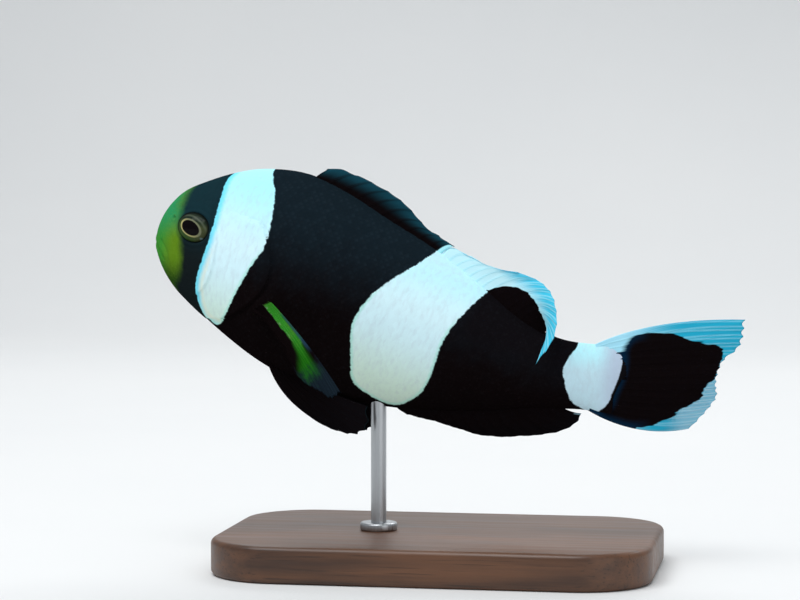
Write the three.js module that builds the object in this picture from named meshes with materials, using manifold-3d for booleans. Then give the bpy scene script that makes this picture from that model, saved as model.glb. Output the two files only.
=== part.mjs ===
// A saddleback anemonefish at life size, as a still display model on a base and rod.
// Millimetres, +Z up, head towards -X, left flank towards -Y. The origin is the middle of the base's underside.
//
// The fish is first modelled straight: x is the distance behind the snout tip, y is to the fish's right and
// z is above its axis. Every solid is cut there, and is then bent along the spine by pose().
import * as THREE from 'three';
import { mergeVertices } from 'three/addons/utils/BufferGeometryUtils.js';
import Module from 'manifold-3d';

const wasm = await Module();
wasm.setup();

// ---- driving dimensions ----
const BODY_END = 96;          // rear end of the flesh, where the tail fin starts
const FISH_END = 124;         // the spine runs on this far, under the tail fin
const GAP = 0.3;              // clearance between touching solids
const SEGMENTS = 32;          // facets around the body
const FIRST_RING = 0.36;      // the first ring of facets behind the snout tip
const HEAD_RINGS = 7;         // rings of the round head, closest at the snout
const HEAD_END = 16;          // from here back the rings are evenly spaced
const RING_SPACING = 3.1;
const SMOOTH = 0.035;         // facets closer than this to their neighbours' plane are merged
const COVER_DEPTH = 1.6;      // thickness of a gill cover plate
const EYE = { x: 11.1, z: 3.8, long: 4.1, tall: 3.1, deep: 2.5, sunk: 1.35, forward: 5 };
const BASE = { length: 84, width: 54, height: 7, corner: 14, bevel: 1 };
const ROD = { x: 56, radius: 1.5, into_base: 4, into_body: 7 };
const BELLY_CLEARANCE = 24;   // from the base's top up to the belly at the rod

// ---- curves ----
// A smooth curve through [key, value] points; stretch() may spread the keys, as a round end needs.
function curve(points, stretch = (x) => x) {
  const k = points.map((p) => stretch(p[0]));
  const v = points.map((p) => p[1]);
  const last = k.length - 1;
  const slope = k.map((_, i) => {
    const a = Math.max(0, i - 1);
    const b = Math.min(last, i + 1);
    return (v[b] - v[a]) / (k[b] - k[a]);
  });
  return (x) => {
    const t = Math.min(k[last], Math.max(k[0], stretch(x)));
    let i = 0;
    while (i < last - 1 && t > k[i + 1]) i += 1;
    const w = k[i + 1] - k[i];
    const s = (t - k[i]) / w;
    const rise = s * s * (3 - 2 * s);
    const bow = w * (slope[i] * s * (1 - s) ** 2 - slope[i + 1] * s * s * (1 - s));
    return v[i] + (v[i + 1] - v[i]) * rise + bow;
  };
}

// A point whose coordinates are numbers or functions of a.
const along = (...curves) => (a) => curves.map((c) => (typeof c === 'function' ? c(a) : c));

// ---- the body's form ----
// Heights above and below the axis, and half-width, by distance behind the snout tip.
// The square root rounds the snout.
const back = curve([[0, 0], [1, 4.7], [2.5, 7.4], [5, 10.2], [9, 12.75], [14, 15.45], [20, 17.9], [28, 19.35],
  [36, 18.4], [45, 16.3], [55, 14.3], [65, 11.5], [75, 8.1], [83, 6.7], [90, 6.65], [96, 6.9]], Math.sqrt);
const belly = curve([[0, 0], [1, 3.7], [2.5, 6], [5, 8.6], [9, 11.35], [14, 13.75], [20, 16.25], [28, 18.7],
  [36, 19.95], [45, 20.2], [55, 18.6], [65, 15.6], [75, 11.7], [83, 8.1], [90, 6.4], [96, 6.7]], Math.sqrt);
const halfWidth = curve([[0, 0], [1, 2.5], [2.5, 3.8], [5, 5.1], [9, 6.3], [14, 7.2], [20, 8.0], [28, 8.6],
  [36, 8.6], [45, 8.1], [55, 7.0], [65, 5.7], [75, 4.2], [83, 3.1], [90, 2.1], [96, 0.6]], Math.sqrt);

// How sharply the section narrows to the back and to the belly; 0 is a plain ellipse.
const ridge = curve([[0, 0], [12, 0.05], [28, 0.25], [60, 0.35], [96, 0.1]]);
const keel = curve([[0, 0], [20, 0.05], [36, 0], [60, 0.3], [96, 0.1]]);

// The point of the skin at x, at an angle from the back (0) over the right flank to the belly (180 degrees).
function skin(x, angle, grow = 0) {
  const c = Math.cos(angle);
  const s = Math.sin(angle);
  const above = c > 0;
  const wide = halfWidth(x) * Math.abs(s) ** (above ? ridge(x) : keel(x));
  const high = above ? back(x) : belly(x);
  return [x, (wide + grow) * s, (high + grow) * c];
}

// ---- the swimming pose ----
// How far the spine drops tailwards and how far it turns to the fish's right, in degrees.
const pitch = curve([[0, 10.8], [12, 12], [24, 15.5], [40, 19.5], [58, 21.8], [72, 20.5], [80, 18], [86, 13],
  [92, 4.5], [100, 0.5], [124, -3]]);
const heading = curve([[0, -17], [20, -12], [41, -4], [62, 0], [94, 4], [124, 5]]);
const STEP = 0.25;

function makeSpine() {
  const bones = [];
  const at = new THREE.Vector3();
  for (let x = 0; x <= FISH_END; x += STEP) {
    const p = THREE.MathUtils.degToRad(pitch(x));
    const h = THREE.MathUtils.degToRad(heading(x));
    const forward = new THREE.Vector3(Math.cos(p) * Math.cos(h), Math.cos(p) * Math.sin(h), -Math.sin(p));
    const right = new THREE.Vector3(-Math.sin(h), Math.cos(h), 0);
    const up = new THREE.Vector3().crossVectors(forward, right);
    bones.push({ at: at.clone(), right, up });
    at.addScaledVector(forward, STEP);
  }
  return bones;
}
const spine = makeSpine();

// Bends a point of the straight fish along the spine.
function pose([x, y, z]) {
  const k = Math.min(spine.length - 2, Math.max(0, Math.floor(x / STEP)));
  const t = x / STEP - k;
  const turn = Math.min(1, Math.max(0, t));
  const on = spine[k].at.clone().lerp(spine[k + 1].at, t);
  const right = spine[k].right.clone().lerp(spine[k + 1].right, turn);
  const up = spine[k].up.clone().lerp(spine[k + 1].up, turn);
  return on.addScaledVector(right, y).addScaledVector(up, z);
}

// ---- solids ----
function solidFrom(vertices, triangles) {
  return new wasm.Manifold(new wasm.Mesh({
    numProp: 3,
    vertProperties: new Float32Array(vertices.flat()),
    triVerts: new Uint32Array(triangles.flat()),
  }));
}

function solidOf(geometry) {
  geometry.deleteAttribute('normal');
  geometry.deleteAttribute('uv');
  const merged = mergeVertices(geometry, 1e-4);
  return new wasm.Manifold(new wasm.Mesh({
    numProp: 3,
    vertProperties: new Float32Array(merged.getAttribute('position').array),
    triVerts: new Uint32Array(merged.index.array),
  }));
}

// The whole body as one lofted solid, grown or shrunk by grow all over.
function body(grow = 0) {
  const stations = [];
  for (let i = 0; i < HEAD_RINGS; i += 1) {
    const t = i / HEAD_RINGS;
    stations.push((Math.sqrt(FIRST_RING) * (1 - t) + Math.sqrt(HEAD_END) * t) ** 2);
  }
  for (let x = HEAD_END; x < BODY_END - 1; x += RING_SPACING) {
    stations.push(x);
  }
  stations.push(BODY_END);

  const vertices = [[-grow, 0, 0]];
  const triangles = [];
  for (const x of stations) {
    for (let i = 0; i < SEGMENTS; i += 1) {
      const [, y, z] = skin(x, (2 * Math.PI * i) / SEGMENTS, grow);
      vertices.push([-grow + (x * (BODY_END + 2 * grow)) / BODY_END, y, z]);
    }
  }
  const rings = stations.length;
  const ring = (r, i) => 1 + r * SEGMENTS + (i % SEGMENTS);
  const end = vertices.length;
  vertices.push([BODY_END + grow, 0, 0]);
  for (let i = 0; i < SEGMENTS; i += 1) {
    triangles.push([0, ring(0, i), ring(0, i + 1)]);
    for (let r = 0; r < rings - 1; r += 1) {
      triangles.push([ring(r, i), ring(r + 1, i), ring(r + 1, i + 1)]);
      triangles.push([ring(r, i), ring(r + 1, i + 1), ring(r, i + 1)]);
    }
    triangles.push([ring(rings - 1, i + 1), ring(rings - 1, i), end]);
  }
  return solidFrom(vertices, triangles);
}

// A side outline [x, z] extruded right through the fish.
function prism(outline, halfDepth = 30) {
  const shape = new THREE.Shape(outline.map(([x, z]) => new THREE.Vector2(x, z)));
  const geometry = new THREE.ExtrudeGeometry(shape, { depth: 2 * halfDepth, bevelEnabled: false, steps: 1 });
  geometry.translate(0, 0, -halfDepth).rotateX(Math.PI / 2);
  return solidOf(geometry);
}

// A thin upright cut of width GAP along a line of [x, z] points.
function cut(line) {
  const path = new THREE.SplineCurve(line.map(([x, z]) => new THREE.Vector2(x, z)));
  const steps = 2 * line.length;
  const front = [];
  const rear = [];
  for (let i = 0; i <= steps; i += 1) {
    const p = path.getPoint(i / steps);
    const t = path.getTangent(i / steps).multiplyScalar(GAP / 2);
    front.push([p.x - t.y, p.y + t.x]);
    rear.unshift([p.x + t.y, p.y - t.x]);
  }
  return prism([...front, ...rear]);
}

// A closed thin plate about the surface place(a, r): a runs along the fin's base and r from base to margin.
function plate(place, across, out, thickness) {
  const e = 1e-3;
  const clamp = (t) => Math.min(1, Math.max(0, t));
  const at = (a, r) => new THREE.Vector3(...place(clamp(a), clamp(r)));
  const vertices = [];
  for (let i = 0; i <= across; i += 1) {
    for (let j = 0; j <= out; j += 1) {
      const a = i / across;
      const r = j / out;
      const alongBase = at(a + e, r).sub(at(a - e, r));
      const outwards = at(a, r + e).sub(at(a, r - e));
      const normal = alongBase.cross(outwards).normalize().multiplyScalar(thickness(r) / 2);
      vertices.push(at(a, r).add(normal).toArray());
      vertices.push(at(a, r).sub(normal).toArray());
    }
  }
  const v = (i, j, side) => 2 * (i * (out + 1) + j) + side;
  const triangles = [];
  const quad = (a, b, c, d) => triangles.push([a, b, c], [a, c, d]);
  for (let i = 0; i < across; i += 1) {
    for (let j = 0; j < out; j += 1) {
      quad(v(i, j, 0), v(i + 1, j, 0), v(i + 1, j + 1, 0), v(i, j + 1, 0));
      quad(v(i, j, 1), v(i, j + 1, 1), v(i + 1, j + 1, 1), v(i + 1, j, 1));
    }
    quad(v(i, 0, 1), v(i + 1, 0, 1), v(i + 1, 0, 0), v(i, 0, 0));
    quad(v(i, out, 0), v(i + 1, out, 0), v(i + 1, out, 1), v(i, out, 1));
  }
  for (let j = 0; j < out; j += 1) {
    quad(v(0, j, 1), v(0, j, 0), v(0, j + 1, 0), v(0, j + 1, 1));
    quad(v(across, j, 0), v(across, j, 1), v(across, j + 1, 1), v(across, j + 1, 0));
  }
  const made = solidFrom(vertices, triangles);
  return made.volume() < 0 ? solidFrom(vertices, triangles.map(([a, b, c]) => [a, c, b])) : made;
}

// ---- fins ----
// A fin whose rays bend from base(a) by way of over(a) to tip(a); the margin dips a little between ray tips.
function fin({ base, over, tip, rays, out, thick, notch = 0.04 }) {
  const place = (a, r) => {
    const dip = notch * Math.abs(Math.sin(Math.PI * a * rays));
    const t = r * (1 - dip * r * r);
    const [from, by, to] = [base(a), over(a), tip(a)];
    return from.map((_, k) => from[k] * (1 - t) ** 2 + 2 * by[k] * t * (1 - t) + to[k] * t * t);
  };
  const thickness = (r) => thick[0] + (thick[1] - thick[0]) * Math.min(1, r * 1.4);
  return plate(place, 2 * rays, out, thickness);
}

function spinyDorsal() {
  const from = (a) => 29 + 27.2 * a;
  const reach = curve([[0, 2.4], [0.12, 4.4], [0.3, 6], [0.6, 5.6], [0.85, 3.6], [1, 1.6]]);
  const rise = curve([[0, 0.5], [0.15, 1.2], [0.4, 1.7], [1, 1.4]]);
  const margin = curve([[29.6, 19.5], [30.7, 20.5], [31.5, 21.2], [32.4, 21.7], [34.1, 22.2], [36, 21.8],
    [37.5, 22], [40.2, 21.6], [43.3, 21.1], [46.4, 20.3], [48, 19.6], [50.5, 18.1], [53.3, 16.7], [55.6, 16.3],
    [58, 16]]);
  return fin({
    base: (a) => [from(a), 0, back(from(a)) - 1.4],
    over: (a) => [from(a) + 0.35 * reach(a), 0, back(from(a)) + rise(a)],
    tip: (a) => [from(a) + reach(a), -0.2, margin(from(a) + reach(a))],
    rays: 10, out: 4, thick: [1.1, 0.55], notch: 0.03,
  });
}

// The soft dorsal leans to the left towards its rear, and its tip hangs beside the tail.
function softDorsal() {
  const from = (a) => 56.5 + 23.6 * a;
  const lean = curve([[0, 0.5], [0.15, 2], [0.8, 2.2], [1, 1.2]]);
  const rise = curve([[0, 1.9], [0.2, 2.9], [0.4, 3.8], [0.8, 5.2], [1, 4.6]]);
  return fin({
    base: (a) => [from(a), 0, back(from(a)) - 1.2],
    over: along(
      (a) => from(a) + lean(a),
      curve([[0, 0], [0.5, -0.4], [0.8, -1.6], [1, -2.6]]),
      (a) => back(from(a)) + rise(a)),
    tip: along(
      curve([[0, 58.6], [0.1, 63.4], [0.2, 67.4], [0.4, 73.5], [0.55, 78.4], [0.7, 82], [0.85, 83.5],
        [1, 81.5]]),
      curve([[0, 0], [0.2, -0.5], [0.4, -1.6], [0.55, -3], [0.7, -5], [0.85, -6.8], [1, -6.9]]),
      curve([[0, 15.6], [0.1, 15], [0.2, 14.9], [0.4, 15.9], [0.55, 15.4], [0.7, 12.6], [0.85, 7.4],
        [1, 0.7]])),
    rays: 15, out: 4, thick: [1.2, 0.55], notch: 0.02,
  });
}

function analFin() {
  const from = (a) => 58.6 + 28.4 * a;
  const sweep = curve([[0, 1], [0.5, 2.2], [1, 1.6]]);
  const drop = curve([[0, 0.3], [0.15, 1.3], [0.5, 2.8], [0.85, 1.8], [1, 0.1]]);
  return fin({
    base: (a) => [from(a), 0, -belly(from(a)) + 1.2],
    over: along(
      (a) => from(a) + sweep(a),
      curve([[0, 0], [0.5, 0.5], [1, 0.4]]),
      (a) => -belly(from(a)) - drop(a)),
    tip: along(
      curve([[0, 62.4], [0.25, 70.6], [0.5, 79.2], [0.75, 86.6], [0.9, 90.3], [1, 91]]),
      curve([[0, 0.3], [0.5, 2], [1, 1.2]]),
      curve([[0, -17.3], [0.25, -16.5], [0.5, -15.3], [0.75, -12.1], [0.9, -9], [1, -7]])),
    rays: 14, out: 4, thick: [1.1, 0.55], notch: 0.02,
  });
}

// The tail fin fans from its upper edge (a = 0) to its lower edge (a = 1), whose lobe trails to the right.
function caudalFin() {
  return fin({
    base: along(curve([[0, 92], [0.15, 90.5], [0.85, 90.5], [1, 92]]), 0, (a) => 6.3 - 12.5 * a),
    over: along(
      curve([[0, 103.5], [0.5, 105], [1, 101.2]]),
      curve([[0, -0.3], [0.5, 0], [1, 0.8]]),
      curve([[0, 12.3], [0.25, 5.6], [0.5, 0], [0.75, -5.8], [1, -11.3]])),
    tip: along(
      curve([[0, 122], [0.15, 121.3], [0.24, 120.2], [0.33, 117.7], [0.5, 116], [0.7, 116.1], [0.85, 114],
        [1, 110.6]]),
      curve([[0, -0.8], [0.3, 0], [0.6, 1.8], [1, 4.6]]),
      curve([[0, 11.2], [0.15, 7.6], [0.3, 4.3], [0.5, 0.2], [0.7, -3.6], [0.85, -6.5], [1, -9.6]])),
    rays: 15, out: 4, thick: [1.5, 0.55], notch: 0.015,
  });
}

// The paired fins take side -1 on the left and 1 on the right.
function pelvicFin(side) {
  return fin({
    base: along(
      curve([[0, 31], [1, 35.4]]),
      curve([[0, side * 2.9], [1, side * 1.7]]),
      curve([[0, -17.2], [1, -18.0]])),
    over: along(
      curve([[0, 37.2], [0.5, 41.2], [1, 42.8]]),
      curve([[0, side * 4.4], [1, side * 2.8]]),
      curve([[0, -24.6], [0.5, -22.6], [1, -19.6]])),
    tip: along(
      curve([[0, 48.2], [0.25, 52], [0.5, 55], [0.75, 56.4], [1, 54.6]]),
      curve([[0, side * 5.2], [0.5, side * 4.6], [1, side * 3.4]]),
      curve([[0, -24.7], [0.25, -25.1], [0.5, -24.3], [0.75, -22.2], [1, -18.6]])),
    rays: 6, out: 5, thick: [1.2, 0.6], notch: 0.02,
  });
}

function pectoralFin(side) {
  return fin({
    base: along(
      curve([[0, 28.2], [1, 27.2]]),
      curve([[0, side * 7.4], [1, side * 6.8]]),
      curve([[0, -4.6], [1, -8.6]])),
    over: along(
      curve([[0, 38.4], [0.5, 34.4], [1, 29.4]]),
      curve([[0, side * 10.2], [0.5, side * 12.4], [1, side * 11.4]]),
      curve([[0, -9], [0.5, -9.5], [1, -7.8]])),
    tip: along(
      curve([[0, 50.2], [0.12, 49.6], [0.25, 48], [0.5, 44], [0.75, 39], [1, 33.6]]),
      curve([[0, side * 11.8], [0.25, side * 15.8], [0.5, side * 18.8], [0.75, side * 19.4],
        [1, side * 16.8]]),
      curve([[0, -16.9], [0.12, -18], [0.25, -17.8], [0.5, -16.1], [0.75, -11.4], [1, -7.2]])),
    rays: 17, out: 3, thick: [1.2, 0.55],
  });
}

// ---- eyes and gill covers ----
function eye(side, grow = 0) {
  const geometry = new THREE.SphereGeometry(1, 16, 8);
  geometry.scale(EYE.long + grow, EYE.deep + grow, EYE.tall + grow);
  geometry.rotateZ(THREE.MathUtils.degToRad(side * EYE.forward));
  const angle = Math.acos(EYE.z / back(EYE.x));
  const depth = halfWidth(EYE.x) * Math.sin(angle) - EYE.sunk;
  geometry.translate(EYE.x, side * depth, EYE.z);
  return solidOf(geometry);
}

const COVER_MIDDLE = [22.2, -2];
const COVER_OUTLINE = [[17.6, 6.8], [20.5, 8.2], [24.4, 7.6], [27.4, 4.6], [28.9, 0.2], [28.2, -4.4],
  [25.4, -8.4], [21.4, -11.4], [17.6, -11.2], [15.6, -8.6], [15.8, -4], [16.4, 2]];

// The gill covers' side outline, moved outwards by grow.
function coverOutline(grow = 0) {
  const [cx, cz] = COVER_MIDDLE;
  const corners = [...COVER_OUTLINE, COVER_OUTLINE[0]].map(([x, z]) => new THREE.Vector2(x, z));
  const points = new THREE.SplineCurve(corners).getPoints(30).slice(0, -1);
  return points.map(({ x, y: z }) => {
    const scale = 1 + grow / Math.hypot(x - cx, z - cz);
    return [cx + (x - cx) * scale, cz + (z - cz) * scale];
  });
}

// ---- the fish, cut up while it is straight ----
const whole = body();
const around = body(GAP);
const bySize = (a, b) => b.volume() - a.volume();
const byPlace = (a, b) => a.boundingBox().max[0] - b.boundingBox().max[0];
const clearOfBody = (solid) => solid.subtract(around).decompose().sort(bySize)[0];

const covers = whole.subtract(body(-COVER_DEPTH)).intersect(prism(coverOutline())).decompose();
const coverSpace = around.subtract(body(-COVER_DEPTH - GAP)).intersect(prism(coverOutline(GAP)));
const sockets = eye(-1, GAP).add(eye(1, GAP));
const gillLine = [[23.4, 26], [24.2, 14], [26.8, 6], [27.2, 0], [25.2, -6], [21.2, -12], [16.2, -17],
  [13, -24]];
const tailLine = [[81.2, 14], [81.8, 4], [81.8, -4], [81.2, -14]];
const mouthLine = [[-3, -0.2], [0.8, -1.5], [3.4, -2.7], [5.6, -4.2], [6.6, -6.6], [7.4, -9.6], [8.2, -14]];
const flesh = [coverSpace, sockets, cut(gillLine), cut(tailLine), cut(mouthLine)]
  .reduce((left, tool) => left.subtract(tool), whole);
const [jaw, head, trunk, tail] = flesh.decompose().sort(bySize).slice(0, 4).sort(byPlace);

// ---- the stand ----
const rodFoot = pose([ROD.x, 0, -belly(ROD.x)]);
const baseTop = rodFoot.z - BELLY_CLEARANCE;

// An upright rod under the belly between two heights of the bent fish.
function rod(from, to, radius) {
  const geometry = new THREE.CylinderGeometry(radius, radius, to - from, 24, 1);
  geometry.rotateX(Math.PI / 2).translate(rodFoot.x, rodFoot.y, (from + to) / 2);
  return solidOf(geometry);
}

// The base block, its underside at z = 0 and its middle at the origin.
function baseBlock() {
  const l = BASE.length / 2 - BASE.bevel;
  const w = BASE.width / 2 - BASE.bevel;
  const c = BASE.corner;
  const outline = new THREE.Shape();
  outline.moveTo(-l + c, -w);
  outline.lineTo(l - c, -w);
  outline.absarc(l - c, -w + c, c, -Math.PI / 2, 0);
  outline.absarc(l - c, w - c, c, 0, Math.PI / 2);
  outline.absarc(-l + c, w - c, c, Math.PI / 2, Math.PI);
  outline.absarc(-l + c, -w + c, c, Math.PI, 1.5 * Math.PI);
  const block = new THREE.ExtrudeGeometry(outline, {
    depth: BASE.height - 2 * BASE.bevel,
    bevelThickness: BASE.bevel,
    bevelSize: BASE.bevel,
    bevelSegments: 2,
    curveSegments: 3,
  });
  return solidOf(block.translate(0, 0, BASE.bevel));
}

// ---- assembly ----
const COLOURS = {
  black: 0x14110f, white: 0xe9eef0, olive: 0x6f8a2a, eye: 0x0b0a0c, walnut: 0x3a2518, steel: 0xb9bcc0,
};

function geometryOf(solid, place = (p) => p) {
  const mesh = solid.getMesh();
  const positions = [];
  for (let i = 0; i < mesh.numVert; i += 1) {
    const start = i * mesh.numProp;
    positions.push(...place([...mesh.vertProperties.subarray(start, start + 3)]));
  }
  const geometry = new THREE.BufferGeometry();
  geometry.setAttribute('position', new THREE.Float32BufferAttribute(positions, 3));
  geometry.setIndex([...mesh.triVerts]);
  return geometry;
}

function named(name, geometry, colour) {
  const steel = colour === 'steel';
  const material = new THREE.MeshStandardMaterial({
    color: COLOURS[colour], roughness: steel ? 0.3 : 0.5, metalness: steel ? 1 : 0,
  });
  geometry.computeVertexNormals();
  const mesh = new THREE.Mesh(geometry, material);
  mesh.name = name;
  return mesh;
}

const bend = (solid) => geometryOf(solid.simplify(SMOOTH), (p) => pose(p).toArray());
const rodHole = rod(rodFoot.z - 2 * ROD.into_body, rodFoot.z + ROD.into_body + GAP, ROD.radius + GAP);

const fish = new THREE.Group();
fish.add(
  named('head', bend(head), 'black'),
  named('lower_jaw', bend(jaw), 'olive'),
  named('trunk', geometryOf(solidOf(bend(trunk)).subtract(rodHole)), 'black'),
  named('tail', bend(tail), 'black'),
  named('dorsal_fin_spiny', bend(clearOfBody(spinyDorsal())), 'black'),
  named('dorsal_fin_soft', bend(clearOfBody(softDorsal())), 'white'),
  named('anal_fin', bend(clearOfBody(analFin())), 'black'),
  named('caudal_fin', bend(clearOfBody(caudalFin())), 'black'),
);
for (const [name, side] of [['left', -1], ['right', 1]]) {
  const cover = covers.find((solid) => side * solid.boundingBox().max[1] > side);
  fish.add(
    named(`gill_cover_${name}`, bend(cover), 'white'),
    named(`eye_${name}`, bend(eye(side)), 'eye'),
    named(`pelvic_fin_${name}`, bend(clearOfBody(pelvicFin(side))), 'black'),
    named(`pectoral_fin_${name}`, bend(clearOfBody(pectoralFin(side))), 'olive'),
  );
}

// The fish is moved to stand over the middle of the base, and the rod with it.
const middle = new THREE.Box3().setFromObject(fish).getCenter(new THREE.Vector3());
fish.position.set(-middle.x, -middle.y, BASE.height - baseTop);
const overBase = (solid) => solid.translate(fish.position.toArray());
const standRod = overBase(rod(baseTop - ROD.into_base, rodFoot.z + ROD.into_body, ROD.radius));
const footHole = overBase(rod(baseTop - ROD.into_base - GAP, baseTop + ROD.into_base, ROD.radius + GAP));

const model = new THREE.Group();
model.add(
  fish,
  named('stand_rod', geometryOf(standRod), 'steel'),
  named('stand_base', geometryOf(baseBlock().subtract(footHole)), 'walnut'),
);

export default model;
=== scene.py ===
"""A saddleback anemonefish at life size, swimming on its display stand.

The fish is worked out straight, in millimetres: x is the distance behind the tip of the snout, y is to the
fish's right and z is above its axis. bend() then lays it along the swimming spine and into the frame.
"""
import math

import bmesh
import bpy
import numpy as np
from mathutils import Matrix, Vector


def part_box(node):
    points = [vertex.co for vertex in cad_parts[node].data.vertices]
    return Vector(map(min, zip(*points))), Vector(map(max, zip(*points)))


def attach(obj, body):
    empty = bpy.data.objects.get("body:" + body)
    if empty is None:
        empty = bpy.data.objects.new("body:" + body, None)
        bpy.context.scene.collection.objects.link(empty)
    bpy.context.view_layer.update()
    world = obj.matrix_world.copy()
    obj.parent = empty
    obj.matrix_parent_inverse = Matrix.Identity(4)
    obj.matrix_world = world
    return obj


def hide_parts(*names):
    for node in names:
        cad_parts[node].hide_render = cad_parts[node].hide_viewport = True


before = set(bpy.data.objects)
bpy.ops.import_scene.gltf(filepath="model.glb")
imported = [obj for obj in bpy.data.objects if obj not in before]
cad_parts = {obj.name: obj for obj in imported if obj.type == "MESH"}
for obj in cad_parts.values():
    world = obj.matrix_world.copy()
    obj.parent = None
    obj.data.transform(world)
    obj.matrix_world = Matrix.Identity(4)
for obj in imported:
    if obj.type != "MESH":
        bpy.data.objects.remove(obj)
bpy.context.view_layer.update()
bpy.ops.object.select_all(action="DESELECT")

MM = 0.001
TAU = 2 * math.pi
TINY = 1e-3           # a small step, for working out directions

# ---- the body's form, as in the solids ----
BODY_END = 96.0       # where the flesh ends and the tail fin starts
TAIL_LAP = 2.4        # how far the scales run on over the root of the tail fin, in its upper part
LAP_FROM = 88.0       # where that lap starts to grow
FISH_END = 124.0      # the spine runs on this far, under the tail fin
SPINE_STEP = 0.25
COAT = 0.16           # the skin lies this far inside the solids, under its scales
ROD_X = 56.0          # the rod meets the belly here
ROD_IN_BODY = 7.0
EYE_X, EYE_Z = 11.1, 3.8
EYE_LONG, EYE_TALL, EYE_DEEP = 4.1, 3.1, 2.5    # half the eyeball's length, height and depth
EYE_OPEN_LONG, EYE_OPEN_TALL = 3.4, 2.78        # half the length and height of its opening in the skin
EYE_SUNK = 1.35
EYE_FORWARD = math.radians(5)


def curve(points, stretch=lambda x: x):
    """A smooth curve through (place, value) points; stretch may spread the places, as a round end needs."""
    places, values = np.array(points, float).T
    keys = stretch(places)
    last = len(keys) - 1
    before = np.maximum(np.arange(last + 1) - 1, 0)
    after = np.minimum(np.arange(last + 1) + 1, last)
    slope = (values[after] - values[before]) / (keys[after] - keys[before])

    def at(x):
        t = stretch(np.clip(x, places[0], places[-1]))
        i = np.clip(np.searchsorted(keys, t) - 1, 0, last - 1)
        width = keys[i + 1] - keys[i]
        s = (t - keys[i]) / width
        bow = width * (slope[i] * s * (1 - s) ** 2 - slope[i + 1] * s * s * (1 - s))
        return values[i] + (values[i + 1] - values[i]) * s * s * (3 - 2 * s) + bow

    return at


def smooth(low, high, x):
    """0 below low, 1 above high and a soft step between; low may be the higher one."""
    t = np.clip((x - low) / (high - low), 0, 1)
    return t * t * (3 - 2 * t)


def bell(x, width):
    return np.exp(-((x / width) ** 2))


back = curve([
    (0, 0), (1, 4.7), (2.5, 7.4), (5, 10.2), (9, 12.75), (14, 15.45), (20, 17.9), (28, 19.35),
    (36, 18.4), (45, 16.3), (55, 14.3), (65, 11.5), (75, 8.1), (83, 6.7), (90, 6.65), (96, 6.9)], np.sqrt)
belly = curve([
    (0, 0), (1, 3.7), (2.5, 6.0), (5, 8.6), (9, 11.35), (14, 13.75), (20, 16.25), (28, 18.7),
    (36, 19.95), (45, 20.2), (55, 18.6), (65, 15.6), (75, 11.7), (83, 8.1), (90, 6.4), (96, 6.7)], np.sqrt)
half_width = curve([
    (0, 0), (1, 2.5), (2.5, 3.8), (5, 5.1), (9, 6.3), (14, 7.2), (20, 8.0), (28, 8.6), (36, 8.6),
    (45, 8.1), (55, 7.0), (65, 5.7), (75, 4.2), (83, 3.1), (90, 2.1), (96, 0.36)], np.sqrt)
ridge = curve([(0, 0), (12, 0.05), (28, 0.25), (60, 0.35), (96, 0.1)])
keel = curve([(0, 0), (20, 0.05), (36, 0), (60, 0.3), (96, 0.1)])
pitch = curve([
    (0, 10.8), (12, 12), (24, 15.5), (40, 19.5), (58, 21.8), (72, 20.5), (80, 18), (86, 13), (92, 4.5),
    (100, 0.5), (124, -3)])
heading = curve([(0, -17), (20, -12), (41, -4), (62, 0), (94, 4), (124, 5)])


def section(x, angle):
    """The point of the body at x, at an angle from the back over the right flank to the belly."""
    c, s = np.cos(angle), np.sin(angle)
    narrow = np.where(c > 0, ridge(x), keel(x))
    high = np.where(c > 0, back(x), belly(x))
    wide = half_width(x) * np.abs(s) ** narrow
    z = high * c
    grown = np.clip((x - LAP_FROM) / (BODY_END - LAP_FROM), 0, 1.2)
    lap = TAIL_LAP * grown ** 2 * smooth(-5, 3, z)
    return np.stack(np.broadcast_arrays(x + lap, wide * s, z), -1)


def unit(v):
    return v / np.maximum(np.linalg.norm(v, axis=-1, keepdims=True), 1e-9)


def outward(x, angle):
    """The direction straight out of the body."""
    q = np.sqrt(np.maximum(x, 1e-4))
    lengthwise = section((q + TINY) ** 2, angle) - section((q - TINY) ** 2, angle)
    around = section(x, angle + TINY) - section(x, angle - TINY)
    return unit(np.cross(lengthwise, around))


# ---- the swimming pose ----
def lay_spine():
    """The spine's places, with the fish's right and up at each, by pitch and heading, in degrees."""
    x = np.arange(0, FISH_END + SPINE_STEP / 2, SPINE_STEP)
    p, h = np.radians(pitch(x)), np.radians(heading(x))
    forward = np.stack([np.cos(p) * np.cos(h), np.cos(p) * np.sin(h), -np.sin(p)], -1)
    right = np.stack([-np.sin(h), np.cos(h), 0 * h], -1)
    at = np.vstack([np.zeros(3), np.cumsum(forward[:-1] * SPINE_STEP, 0)])
    return at, right, np.cross(forward, right)


SPINE_AT, SPINE_RIGHT, SPINE_UP = lay_spine()


def pose(points):
    """Points of the straight fish laid along the spine, still in millimetres from the snout."""
    x, y, z = np.moveaxis(np.asarray(points, float), -1, 0)
    k = np.clip(np.floor(x / SPINE_STEP).astype(int), 0, len(SPINE_AT) - 2)
    t = (x / SPINE_STEP - k)[..., None]
    turn = np.clip(t, 0, 1)
    at = SPINE_AT[k] * (1 - t) + SPINE_AT[k + 1] * t
    right = SPINE_RIGHT[k] * (1 - turn) + SPINE_RIGHT[k + 1] * turn
    up = SPINE_UP[k] * (1 - turn) + SPINE_UP[k + 1] * turn
    return at + right * y[..., None] + up * z[..., None]


ROD_LOW, ROD_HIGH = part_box("stand_rod")
ROD_TOP = Vector(((ROD_LOW.x + ROD_HIGH.x) / 2, (ROD_LOW.y + ROD_HIGH.y) / 2, ROD_HIGH.z))
PLACE = np.array(ROD_TOP) / MM - (0, 0, ROD_IN_BODY) - pose(np.array([ROD_X, 0, -belly(ROD_X)]))


def bend(points):
    """Points of the straight fish, in millimetres, taken into the frame, in metres."""
    return (pose(points) + PLACE) * MM


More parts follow.
